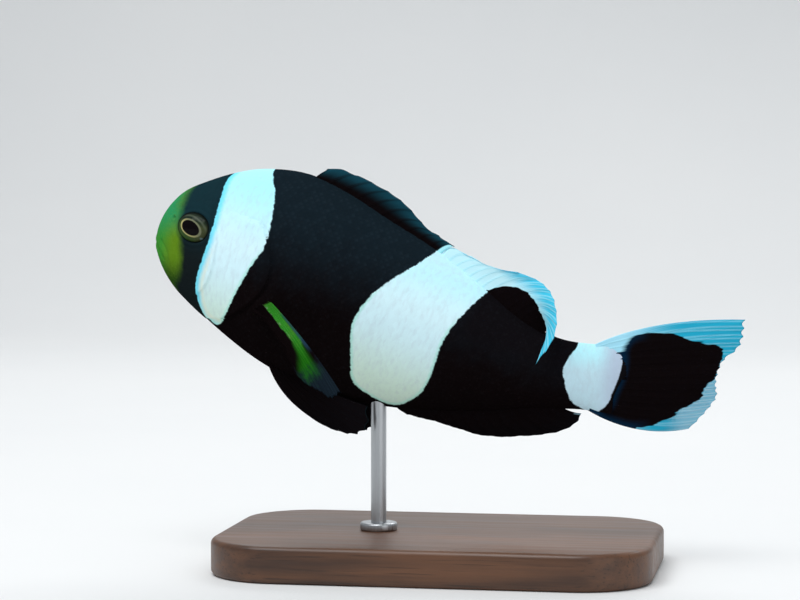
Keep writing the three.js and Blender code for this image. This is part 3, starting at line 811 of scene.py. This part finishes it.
def soft_dorsal():
    def root(a):
        return 56.5 + 23.6 * a + 0.8 * smooth(0.8, 1, a)
    lean = curve([(0, 0.5), (0.15, 2.0), (0.8, 2.2), (1, 1.2)])
    rise = curve([(0, 1.9), (0.2, 2.9), (0.4, 3.8), (0.8, 5.2), (1, 4.6)])
    return fin_shape(
        base=(root, 0, lambda a: back(root(a)) - 1.2),
        over=(lambda a: root(a) + lean(a),
              curve([(0, 0), (0.5, -0.4), (0.8, -1.6), (1, -2.6)]),
              lambda a: back(root(a)) + rise(a)),
        tip=(curve([(0, 58.6), (0.1, 63.4), (0.2, 67.4), (0.4, 73.5), (0.55, 78.4), (0.7, 82.0),
                    (0.85, 83.5), (1, 81.5)]),
             curve([(0, 0), (0.2, -0.5), (0.4, -1.6), (0.55, -3), (0.7, -5), (0.85, -6.8), (1, -6.9)]),
             curve([(0, 15.6), (0.1, 15.0), (0.2, 14.9), (0.4, 15.9), (0.55, 15.4), (0.7, 12.6),
                    (0.85, 7.4), (1, 0.7)])))


def anal():
    def root(a):
        return 58.6 + 28.4 * a
    sweep = curve([(0, 1), (0.5, 2.2), (1, 1.6)])
    drop = curve([(0, 0.3), (0.15, 1.3), (0.5, 2.8), (0.85, 1.8), (1, 0.1)])
    return fin_shape(
        base=(root, 0, lambda a: 1.2 - belly(root(a))),
        over=(lambda a: root(a) + sweep(a),
              curve([(0, 0), (0.5, 0.5), (1, 0.4)]),
              lambda a: -belly(root(a)) - drop(a)),
        tip=(curve([(0, 62.4), (0.25, 70.6), (0.5, 79.2), (0.75, 86.6), (0.9, 90.3), (1, 91.0)]),
             curve([(0, 0.3), (0.5, 2), (1, 1.2)]),
             curve([(0, -17.3), (0.25, -16.5), (0.5, -15.3), (0.75, -12.1), (0.9, -9.0), (1, -7.0)])))


def caudal():
    return fin_shape(
        base=(curve([(0, 92), (0.15, 90.5), (0.85, 90.5), (1, 92)]), 0, lambda a: 6.3 - 12.5 * a),
        over=(curve([(0, 103.5), (0.5, 105), (1, 101.2)]),
              curve([(0, -0.3), (0.5, 0), (1, 0.8)]),
              curve([(0, 12.3), (0.25, 5.6), (0.5, 0), (0.75, -5.8), (1, -11.3)])),
        tip=(curve([(0, 122), (0.15, 121.3), (0.24, 120.2), (0.33, 117.7), (0.5, 116), (0.7, 116.1),
                    (0.85, 114), (1, 110.6)]),
             curve([(0, -0.8), (0.3, 0), (0.6, 1.8), (1, 4.6)]),
             curve([(0, 11.2), (0.15, 7.6), (0.3, 4.3), (0.5, 0.2), (0.7, -3.6), (0.85, -6.5),
                    (1, -9.6)])))


def pelvic(side):
    return fin_shape(
        base=(curve([(0, 31), (1, 35.4)]), curve([(0, 2.9), (1, 1.7)]), curve([(0, -17.2), (1, -18)])),
        over=(curve([(0, 37.2), (0.5, 41.2), (1, 42.8)]),
              curve([(0, 4.4), (1, 2.8)]),
              curve([(0, -24.6), (0.5, -22.6), (1, -19.6)])),
        tip=(curve([(0, 48.2), (0.25, 52.0), (0.5, 55.0), (0.75, 56.4), (1, 54.6)]),
             curve([(0, 5.2), (0.5, 4.6), (1, 3.4)]),
             curve([(0, -24.7), (0.25, -25.1), (0.5, -24.3), (0.75, -22.2), (1, -18.6)])),
        side=side)


def pectoral(side):
    return fin_shape(
        base=(curve([(0, 28.2), (1, 27.2)]), curve([(0, 7.4), (1, 6.8)]), curve([(0, -4.6), (1, -8.6)])),
        over=(curve([(0, 38.4), (0.5, 34.4), (1, 29.4)]),
              curve([(0, 10.2), (0.5, 12.4), (1, 11.4)]),
              curve([(0, -9.0), (0.5, -9.5), (1, -7.8)])),
        tip=(curve([(0, 50.2), (0.12, 49.6), (0.25, 48.0), (0.5, 44.0), (0.75, 39.0), (1, 33.6)]),
             curve([(0, 11.8), (0.25, 15.8), (0.5, 18.8), (0.75, 19.4), (1, 16.8)]),
             curve([(0, -16.9), (0.12, -18.0), (0.25, -17.8), (0.5, -16.1), (0.75, -11.4), (1, -7.2)])),
        side=side)


# ---- where the fins are dark: how far inside the dark part each place is, in millimetres ----
DORSAL_DARK_FROM = 0.43   # the soft dorsal is white ahead of this ray, as a share of the fin
soft_dorsal_dark_reach = curve([
    (0.4, 0), (0.45, 0.1), (0.47, 0.22), (0.504, 0.39), (0.537, 0.46), (0.575, 0.52), (0.675, 0.57),
    (0.81, 0.55), (0.92, 0.57), (0.96, 0.84), (1, 0.9)])
# The pectoral's green runs between these two rays, by how far out along the rays a place is.
pectoral_green = curve([
    (0, 0.36), (0.14, 0.338), (0.34, 0.304), (0.52, 0.271), (0.61, 0.317), (0.7, 0.365), (0.8, 0.44),
    (0.94, 0.53), (1, 0.55)])
pectoral_lead = curve([
    (0, -0.1), (0.45, -0.1), (0.54, 0.05), (0.6, 0.075), (0.72, 0.07), (0.82, 0.0), (1, 0.0)])


# Each takes the ray a, the reach r along it, the place on the straight fish and the ray's length.
def soft_dorsal_dark(a, r, middle, length):
    return np.minimum((a - DORSAL_DARK_FROM) * 23.5, (soft_dorsal_dark_reach(a) - r) * length)


def caudal_dark(a, r, middle, length):
    return within(middle[:, 0], middle[:, 2], TAIL_DARK)


def pectoral_dark(a, r, middle, length):
    """The pectoral is green along its leading rays only, with a toothed edge."""
    teeth = 0.015 * np.sin(60 * r) * smooth(0.62, 0.45, r)
    return np.maximum(a - pectoral_green(r) + teeth, pectoral_lead(r) - a) * 14


# ---- fins ----
COLUMNS_PER_RAY = 12
WEB_HALF = 0.055          # half the web's thickness, away from its root
ROOT_FADE = 2.6           # the thick root thins out over this distance
RIPPLE = 0.25             # how far a fin's edge waves


def make_fin(name, surface, material, slot, rays, rows, notch, seed, spiny=False, thick=0.5, ridge=0.15,
             dark=None):
    """A fin as one thin folded sheet. Rays stand out on both faces, and its edge dips between them."""
    piece, a, v = sheet(name + "_web", rays * COLUMNS_PER_RAY, 2 * rows)
    side = np.where(v < 0.5, 1.0, -1.0)
    r = 1 - np.abs(2 * v - 1)
    place = a * rays
    off = place - np.round(place)
    rng = np.random.default_rng(seed)
    shorter = rng.uniform(0, 0.5, rays + 1) * notch
    dip = notch * np.abs(np.sin(math.pi * place)) ** (0.8 if spiny else 1.2)
    fray = np.interp(place, np.arange(rays + 1), shorter)
    t = r * (1 - (dip + fray) * r * r)
    middle = surface(a, t)
    run = surface(np.clip(a + TINY, 0, 1), t) - surface(np.clip(a - TINY, 0, 1), t)
    rise = surface(a, t + TINY) - surface(a, t - TINY)
    normal = unit(np.cross(run, rise))
    length = np.linalg.norm(surface(a, np.ones_like(a)) - surface(a, np.zeros_like(a)), axis=-1)
    to_edge = (1 - r) * length

    # A spine is single. A soft ray splits in two towards its tip.
    if spiny:
        beam = bell(off, 0.13) * (1 - 0.7 * r)
    else:
        split = 0.2 * smooth(0.3, 0.95, r)
        beam = np.maximum(bell(off - split, 0.1), bell(off + split, 0.1)) * (1 - 0.65 * r)
    closing = smooth(0, 0.06, r) * smooth(0, 0.012, a) * smooth(0, 0.012, 1 - a)
    round_edge = np.sqrt(np.clip(to_edge / 0.25, 0, 1))
    web = WEB_HALF + thick * np.exp(-t * length / ROOT_FADE)
    half = (web + ridge * beam) * round_edge * closing
    wave = RIPPLE * r ** 1.5 * np.sin(place * 0.9 + 2.2 * r + seed) + 0.06 * r * np.sin(place * math.pi)
    shape(piece, bend(middle + normal * (side * half + wave)[:, None]))
    note(piece.data, "rest", middle)
    note(piece.data, "fin", np.stack([beam, to_edge, place], -1))
    note(piece.data, "reach", r)
    if dark:
        note(piece.data, "dark", dark(a, r, middle, length))
    close_up(piece)
    return finish_piece(piece, material, slot, name)


def fin_bump(n, fin, beam, edge):
    """Cross joints of the rays and fine creases of the web between them."""
    joints = n.math("SINE", n.times(edge, 11.0))
    creases = n.noise(n.scaled(fin, (0.0, 0.6, 6.0)), 1.0, 3.0)
    return n.bump(n.plus(n.times(joints, n.times(beam, 0.5)), creases), 0.5, 0.00008)


# ---- the paints of the fins ----
FIN_BLACK_WARM = colour(15, 13, 16)
FIN_EDGE_GREY = colour(40, 66, 74)
BLACK_FIN_WEB = colour(13, 12, 15)
# painted highlight along the anal fin's last ray
BLACK_FIN_HIGHLIGHT = colour(120, 150, 162)
SPINY_WEB = colour(25, 78, 94)
MARGIN_BLUE = colour(70, 198, 231)
MARGIN_LIGHT = colour(168, 228, 242)
MARGIN_LINE = colour(52, 140, 172)
MARGIN_BLACK = colour(15, 12, 15)
MARGIN_DEEP_BLUE = colour(8, 38, 62)
TAIL_WHITE = colour(164, 222, 242)
TAIL_BLUE = colour(38, 170, 204)
GREEN_ROOT = colour(16, 22, 14)
GREEN_NEAR = colour(44, 128, 38)
GREEN_FAR = colour(26, 96, 16)
GREEN_OLIVE = colour(72, 116, 40)
GREEN_RAY = colour(104, 176, 64)
GREEN_TIP = colour(118, 164, 112)
STRAND_BLUE = colour(36, 62, 80)
SMOKE_WEB = colour(21, 30, 38)
SMOKE_RAY = colour(28, 40, 50)


def start_fin_finish(name):
    """A fin's material with its joints and creases, and what a fin's mesh notes at each of its points."""
    material, n, shader = new_material(name, Specular_IOR_Level=SHEEN)
    rest, fin, reach = n.vector("rest"), n.vector("fin"), n.number("reach")
    beam, edge, ray = n.parts(fin)
    n.link(fin_bump(n, fin, beam, edge), shader["Normal"])
    return material, n, shader, rest, fin, beam, edge, ray, reach


def make_dark_fin_finish(name, web_colour, patch_and_highlight, patch_ray, patch_from, patch_to):
    """Black, with its web tinted towards the edge, and a pale mark on its last ray: a white patch on the
    spiny dorsal, and a painted highlight on the anal fin.
    """
    material, n, shader, rest, _, beam, edge, ray, reach = start_fin_finish(name)
    speck = n.noise(rest, 1.3)
    base = n.mix(n.step(speck, 0.3, 0.8, 0.0, 0.5), BLACK_LOW, FIN_BLACK_WARM)
    web = n.times(n.step(reach, 0.3, 0.95), n.step(beam, 0.5, 0.0, 0.5, 1.0))
    base = n.mix(n.times(web, 0.7), base, web_colour)
    base = n.mix(n.step(edge, 0.2, 0.05, 0.0, 0.25), base, FIN_EDGE_GREY)
    # The last ray's pale mark: the spiny dorsal's white patch, and on the anal fin a painted highlight.
    patch_reach = n.times(n.step(reach, patch_from, patch_from + 0.08),
                      n.step(reach, patch_to + 0.06, patch_to))
    base = n.mix(n.times(n.step(ray, patch_ray, patch_ray + 0.12), patch_reach), base, patch_and_highlight)
    n.link(base, shader["Base Color"])
    n.link(n.step(speck, 0.2, 0.8, 0.4, 0.55), shader["Roughness"])
    return material


def make_margined_finish():
    """Soft dorsal and tail: black inside, and a white to blue margin with its rays drawn in it."""
    material, n, shader, rest, fin, beam, edge, ray, reach = start_fin_finish("margined_fin")
    x, z = n.parts(rest, "XZ")
    inside = n.number("dark")
    dorsal = n.step(x, 86.0, 84.0)
    tail = n.step(x, 84.0, 90.0)
    tail_only = n.step(x, 90.0, 92.0)

    # Where the dark starts: ragged along the rays, blurred at the tail's root, but solid in its lower part.
    ragged = n.times(n.minus(n.noise(n.scaled(fin, (0.0, 0.25, 2.2)), 1.0, 1.0), 0.5), 1.3)
    blurred = n.times(n.step(x, 94.0, 95.0), n.step(x, 101.5, 98.5))
    depth = n.times(n.plus(inside, ragged), n.step(blurred, 0.0, 1.0, 1.0, 0.22))
    solid = n.times(n.step(x, 101.0, 99.0, 0.0, 3.0), n.step(z, 5.5, 4.0))
    dark = n.step(n.plus(depth, n.times(solid, tail_only)), -0.12, 0.16)

    # The margin turns from white to blue towards the edge, further out on the dorsal's first rays.
    later = n.times(n.step(ray, 7.0, 2.0, 0.0, 0.3), dorsal)
    later = n.plus(later, n.step(x, 84.0, 86.0, 0.0, -0.2))
    outer = n.step(n.minus(reach, later), 0.42, 0.85)
    margin = n.mix(outer, n.mix(tail, FIN_WHITE, TAIL_WHITE), n.mix(tail, MARGIN_BLUE, TAIL_BLUE))
    drawn = n.times(n.step(beam, 0.05, 0.3), n.step(x, 84.0, 90.0, 0.5, 0.32))
    margin = n.mix(drawn, margin, MARGIN_LIGHT)
    slant = n.times(n.minus(ray, n.times(edge, 0.08)), 5.0)
    lines = n.noise(n.scaled((1.0, 1.0, 1.0), slant), 1.0, 2.0)
    margin = n.mix(n.times(n.step(lines, 0.48, 0.62), n.times(outer, 0.45)), margin, MARGIN_LINE)

    black = n.mix(n.step(n.noise(rest, 1.2), 0.3, 0.8, 0.0, 0.5), BLACK_LOW, MARGIN_BLACK)
    fringe = n.times(n.step(x, 104.0, 99.0), n.step(inside, 1.9, 0.1, 0.0, 0.9))
    black = n.mix(n.times(fringe, tail_only), black, MARGIN_DEEP_BLUE)
    n.link(n.mix(dark, margin, black), shader["Base Color"])
    lower_rear = n.times(n.step(x, 104.0, 110.0), n.step(z, 4.4, 3.0))
    sheer = n.times(n.minus(1.0, dark), lower_rear)
    n.link(n.minus(1.0, n.times(sheer, 0.42)), shader["Alpha"])
    n.link(n.step(lines, 0.2, 0.8, 0.4, 0.52), shader["Roughness"])
    return material


def make_pectoral_finish():
    """Green along its leading rays, black between, and smoky where the web thins out behind."""
    material, n, shader, rest, fin, beam, _, ray, reach = start_fin_finish("pectoral_fin")
    shader["Roughness"].default_value = 0.45
    ragged = n.minus(n.noise(n.scaled(fin, (0.0, 0.3, 2.4)), 1.0, 1.0), 0.5)
    depth = n.plus(n.number("dark"), n.times(ragged, n.step(reach, 0.6, 0.45, 0.4, 1.6)))
    green = n.mix(n.step(reach, 0.35, 0.75), GREEN_NEAR, GREEN_FAR)
    olive = n.times(n.step(n.noise(rest, 0.9), 0.45, 0.7), n.step(reach, 0.7, 0.4, 0.0, 0.6))
    green = n.mix(olive, green, GREEN_OLIVE)
    drawn = n.times(n.step(beam, 0.05, 0.5), n.step(reach, 0.7, 0.3, 0.08, 0.3))
    green = n.mix(drawn, green, GREEN_RAY)
    base = n.mix(n.step(reach, 0.02, 0.06), GREEN_ROOT, green)
    tips = n.times(n.step(depth, -0.9, -0.45), n.step(n.noise(rest, 1.7, 1.0), 0.5, 0.62))
    base = n.mix(n.times(tips, n.step(reach, 0.6, 0.4, 0.0, 0.6)), base, GREEN_TIP)
    base = n.mix(n.step(depth, n.step(reach, 0.45, 0.7, -0.3, -1.6), 0.4), base, BLACK_LOW)
    halfway = n.times(n.step(reach, 0.2, 0.32), n.step(reach, 0.66, 0.56))
    strand = n.times(n.step(ray, 1.4, 0.9), halfway)
    base = n.mix(n.times(strand, 0.8), base, STRAND_BLUE)
    stain = n.times(n.minus(n.noise(rest, 0.6), 0.5), 0.24)
    behind = n.plus(n.plus(reach, stain), n.times(ray, -0.028))
    smoke = n.times(n.step(behind, 0.62, 0.8), n.step(ray, 12.0, 8.0))
    base = n.mix(smoke, base, n.mix(n.step(beam, 0.05, 0.5), SMOKE_WEB, SMOKE_RAY))
    n.link(base, shader["Base Color"])
    return material


# ---- eyes ----
IRIS_FRONT = colour(46, 74, 30)
IRIS_REAR = colour(62, 68, 42)
IRIS_TOP = colour(26, 38, 31)
IRIS_GRAIN = colour(80, 88, 62)
BROW_LINE = colour(84, 94, 78)
GLINT = colour(120, 146, 150)
RING_DULL = colour(108, 112, 88)
RING_GOLD = colour(168, 162, 108)
PUPIL = colour(9, 6, 8)
EYE_RIM = colour(16, 22, 18)
EYE_RIM_LONG, EYE_RIM_TALL = 3.45, 2.85    # half the length and height of the dark rim
GLINT_X, GLINT_Z = 2.45, -1.75
EYE_AROUND, EYE_ALONG = 96, 72


def make_eye_finish():
    """A black pupil in a thin dull-gold ring, and an olive iris that is widest and palest behind."""
    material, n, shader = new_material(
        "fish_eye", Specular_IOR_Level=SHEEN, Roughness=0.42, Coat_Weight=0.12, Coat_Roughness=0.05)
    place = n.vector("eye")
    x, z = n.parts(place, "XZ")
    behind = n.plus(x, 0.05)
    square = n.plus(n.times(behind, behind), n.times(n.times(z, z), 2.0))
    leaning = n.times(n.times(behind, z), 0.62)
    radius = n.math("SQRT", n.plus(square, leaning))

    iris = n.mix(n.step(x, -1.2, 2.4), IRIS_FRONT, IRIS_REAR)
    iris = n.mix(n.step(z, 0.3, 1.7), iris, IRIS_TOP)
    iris = n.mix(n.step(n.noise(place, 1.6), 0.4, 0.75, 0.0, 0.22), iris, IRIS_GRAIN)
    brow = n.times(n.step(radius, 2.85, 3.0), n.step(radius, 3.45, 3.25))
    brow = n.times(brow, n.step(n.plus(z, n.times(behind, 0.3)), 0.6, 1.6))
    iris = n.mix(n.times(brow, 0.5), iris, BROW_LINE)
    glint = n.times(n.around(x, GLINT_X, 0.5, 0.1), n.around(z, GLINT_Z, 0.4, 0.1))
    iris = n.mix(n.times(glint, 0.7), iris, GLINT)
    ring = n.times(n.step(radius, 1.9, 1.98), n.step(radius, 2.46, 2.26))
    low_front = n.step(n.plus(behind, z), 1.4, -1.8)
    iris = n.mix(ring, iris, n.mix(low_front, RING_DULL, RING_GOLD))
    painted = n.mix(n.step(radius, 2.0, 1.9), iris, PUPIL)
    rim = n.plus(n.math("POWER", n.math("DIVIDE", x, EYE_RIM_LONG), 2.0),
                 n.math("POWER", n.math("DIVIDE", z, EYE_RIM_TALL), 2.0))
    painted = n.mix(n.step(n.math("SQRT", rim), 0.88, 1.0), painted, EYE_RIM)
    n.link(painted, shader["Base Color"])
    return material


def make_eye(name, side, material):
    """An eyeball whose pole points out of the head, turned a little forwards."""
    piece, u, v = sheet(name + "_ball", EYE_AROUND, EYE_ALONG)
    angle = u * TAU
    off_axis = v * math.pi
    ring = np.sin(off_axis)
    local = np.stack([EYE_LONG * ring * np.cos(angle), EYE_DEEP * np.cos(off_axis) * side,
                      EYE_TALL * ring * np.sin(angle)], -1)
    c, s = math.cos(side * EYE_FORWARD), math.sin(side * EYE_FORWARD)
    x, y, z = local.T
    turned = np.stack([x * c - y * s, x * s + y * c, z], -1)
    depth = half_width(EYE_X) * math.sin(math.acos(EYE_Z / back(EYE_X))) - EYE_SUNK
    shape(piece, bend(turned + (EYE_X, side * depth, EYE_Z)))
    note(piece.data, "eye", local)
    close_up(piece)
    return finish_piece(piece, material, "eye", name)


# ---- stand ----
BASE_CORNER = 14.0        # radius of the base's corners, seen from above
BASE_EDGE = 1.1
COLLAR_WIDTH = 2.4        # as a share of the rod's
COLLAR_HEIGHT = 1.6
COLLAR_EDGE = 0.45
ROUND_SIDES = 64

WALNUT_DARK = colour(52, 32, 21)
WALNUT_LIGHT = colour(104, 68, 44)
WALNUT_PORE = colour(34, 21, 14)
STEEL_DARK = colour(150, 154, 158)
STEEL_LIGHT = colour(196, 199, 202)


def make_walnut():
    material, n, shader = new_material("oiled_walnut")
    place = n.place()
    warp = n.noise(n.scaled(place, (18, 60, 60)), 1.0, 3.0)
    grain = n.noise(n.scaled(place, (22, 520, 520)), 1.0, 5.0, 0.6)
    figure = n.plus(n.times(warp, 0.7), n.times(grain, 0.5))
    base = n.mix(n.step(figure, 0.35, 0.8), WALNUT_DARK, WALNUT_LIGHT)
    pores = n.noise(n.scaled(place, (60, 2400, 2400)), 1.0, 2.0)
    base = n.mix(n.step(pores, 0.58, 0.7, 0.0, 0.6), base, WALNUT_PORE)
    n.link(base, shader["Base Color"])
    n.link(n.step(grain, 0.2, 0.8, 0.34, 0.5), shader["Roughness"])
    n.link(n.bump(pores, 0.25, 0.0001), shader["Normal"])
    return material


def make_steel():
    material, n, shader = new_material("brushed_steel", Metallic=1.0)
    brushed = n.noise(n.scaled(n.place(), (3200, 3200, 60)), 1.0, 3.0)
    n.link(n.mix(brushed, STEEL_DARK, STEEL_LIGHT), shader["Base Color"])
    n.link(n.step(brushed, 0.2, 0.8, 0.24, 0.42), shader["Roughness"])
    n.link(n.bump(brushed, 0.15, 0.00004), shader["Normal"])
    return material


def settle(name):
    """Names the new piece and puts its place into its mesh."""
    piece = bpy.context.object
    piece.name = piece.data.name = name
    bpy.ops.object.transform_apply(location=True, rotation=True, scale=True)
    return piece


def round_edges(piece, width, segments):
    bevel = piece.modifiers.new("round", "BEVEL")
    bevel.width = width * MM
    bevel.segments = segments
    bevel.limit_method = "ANGLE"
    bpy.ops.object.modifier_apply(modifier="round")


def smooth_off(piece):
    bpy.ops.object.shade_smooth_by_angle(angle=math.radians(40))
    piece.select_set(False)


def make_base(low, high):
    size = high - low
    bpy.ops.mesh.primitive_cube_add(size=1, location=(low + high) / 2, scale=size)
    block = settle("walnut_base")
    select_edges(block, lambda a, b: abs(a.z - b.z) > size.z / 2)
    bpy.ops.mesh.bevel(offset=BASE_CORNER * MM, segments=20, affect="EDGES")
    bpy.ops.object.mode_set(mode="OBJECT")
    round_edges(block, BASE_EDGE, 5)
    smooth_off(block)
    return block


def make_stand():
    low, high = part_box("stand_base")
    block = make_base(low, high)
    radius = (ROD_HIGH.x - ROD_LOW.x) / 2
    bpy.ops.mesh.primitive_cylinder_add(vertices=ROUND_SIDES, radius=radius, depth=ROD_HIGH.z - ROD_LOW.z,
                                        location=(ROD_TOP.x, ROD_TOP.y, (ROD_HIGH.z + ROD_LOW.z) / 2))
    rod = settle("steel_rod")
    smooth_off(rod)
    bpy.ops.mesh.primitive_cylinder_add(vertices=ROUND_SIDES, radius=COLLAR_WIDTH * radius,
                                        depth=COLLAR_HEIGHT * MM,
                                        location=(ROD_TOP.x, ROD_TOP.y, high.z + 0.75 * MM))
    collar = settle("rod_collar")
    round_edges(collar, COLLAR_EDGE, 4)
    smooth_off(collar)

    steel = make_steel()
    finish_piece(block, make_walnut(), "base", "stand_base")
    finish_piece(rod, steel, "rod", "stand_rod")
    finish_piece(collar, steel, "rod")


# ---- camera, floor and light ----
AWAY = 0.5                           # the camera's distance, in metres
SEEN_WIDTH = 153.85 * MM             # how much the view takes in at that distance
AIM_SHIFT = (4.3, -1.7, -1.8)        # what it looks at, from the trunk's middle, in millimetres


def make_camera():
    """The view is of the fish's left, a little from behind and from above."""
    azimuth, elevation = math.radians(10), math.radians(3)
    trunk_low, trunk_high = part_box("trunk")
    aim = (trunk_low + trunk_high) / 2 + Vector(AIM_SHIFT) * MM
    towards = Vector((math.sin(azimuth) * math.cos(elevation), -math.cos(azimuth) * math.cos(elevation),
                      math.sin(elevation)))
    data = bpy.data.cameras.new("camera")
    data.sensor_width = 36
    data.lens = data.sensor_width * AWAY / SEEN_WIDTH
    data.clip_start = 0.01
    camera = bpy.data.objects.new("camera", data)
    camera.location = aim + towards * AWAY
    camera.rotation_euler = towards.to_track_quat("Z", "Y").to_euler()
    bpy.context.scene.collection.objects.link(camera)
    bpy.context.scene.camera = camera


def make_floor():
    """A pale sheet that lies flat and sweeps up into a wall behind, in metres."""
    width, length, in_front, flat, sweep = 3.2, 2.4, 0.7, 1.3, 0.35
    floor, u, v = sheet("floor", 8, 60)
    reach = v * length
    turn = np.clip((reach - flat) / sweep, 0, math.pi / 2)
    wall = np.maximum(reach - flat - sweep * math.pi / 2, 0)
    y = np.minimum(reach, flat) + sweep * np.sin(turn) - in_front
    z = sweep * (1 - np.cos(turn)) + wall
    shape(floor, np.stack([(u - 0.5) * width, y, z], -1))
    bpy.ops.object.shade_smooth()
    floor.select_set(False)
    material, n, shader = new_material("pale_floor", Roughness=0.8)
    cloud = n.noise(n.place(), 6.0)
    n.link(n.mix(cloud, colour(222, 224, 225), colour(229, 230, 230)), shader["Base Color"])
    floor.data.materials.append(material)


def make_lamp(name, place, size, power):
    """A soft lamp that looks at the fish."""
    data = bpy.data.lights.new(name, "AREA")
    data.shape = "RECTANGLE"
    data.size, data.size_y = size
    data.energy = power
    lamp = bpy.data.objects.new(name, data)
    lamp.location = place
    lamp.rotation_euler = (Vector(place) - Vector((0, 0, 0.06))).to_track_quat("Z", "Y").to_euler()
    bpy.context.scene.collection.objects.link(lamp)


def make_light():
    make_lamp("key", (-0.2, -0.35, 0.8), (0.7, 0.5), 6.0)
    make_lamp("fill", (0.7, -0.6, 0.25), (0.6, 0.6), 1.2)
    make_lamp("rim", (0.1, 0.6, 0.6), (0.9, 0.3), 3.0)
    world = bpy.data.worlds.new("studio")
    world.use_nodes = True
    sky = world.node_tree.nodes["Background"].inputs
    sky["Color"].default_value = (0.92, 0.96, 1.0, 1)
    sky["Strength"].default_value = 0.42
    bpy.context.scene.world = world


# ---- everything ----
make_camera()
make_floor()
make_light()
make_skin()
scale_finish = make_scale_finish()
make_scales("scales_left", -1, scale_finish)
make_scales("scales_right", 1, scale_finish)

black_fin = make_dark_fin_finish("black_fin", BLACK_FIN_WEB, BLACK_FIN_HIGHLIGHT, 13.75, 0.72, 1.0)
spiny_fin = make_dark_fin_finish("spiny_fin", SPINY_WEB, WHITE_TOP, 9.58, 0.0, 0.88)
margined_fin = make_margined_finish()
pectoral_fin = make_pectoral_finish()
make_fin("dorsal_fin_spiny", spiny_dorsal(), spiny_fin, "dark_fin",
         rays=10, rows=44, notch=0.03, spiny=True, seed=2)
make_fin("dorsal_fin_soft", soft_dorsal(), margined_fin, "margined_fin",
         rays=15, rows=70, notch=0.02, ridge=0.06, dark=soft_dorsal_dark, seed=3)
make_fin("anal_fin", anal(), black_fin, "dark_fin", rays=14, rows=54, notch=0.02, seed=4)
make_fin("caudal_fin", caudal(), margined_fin, "margined_fin",
         rays=15, rows=90, notch=0.015, thick=0.6, ridge=0.09, dark=caudal_dark, seed=5)
for side_name, side in (("left", -1), ("right", 1)):
    make_fin("pelvic_fin_" + side_name, pelvic(side), black_fin, "dark_fin",
             rays=6, rows=70, notch=0.02, seed=6)
    make_fin("pectoral_fin_" + side_name, pectoral(side), pectoral_fin, "green_fin",
             rays=17, rows=70, notch=0.012, dark=pectoral_dark, seed=7)

eye_finish = make_eye_finish()
make_eye("eye_left", -1, eye_finish)
make_eye("eye_right", 1, eye_finish)
make_stand()

bpy.context.scene.view_settings.view_transform = "Standard"
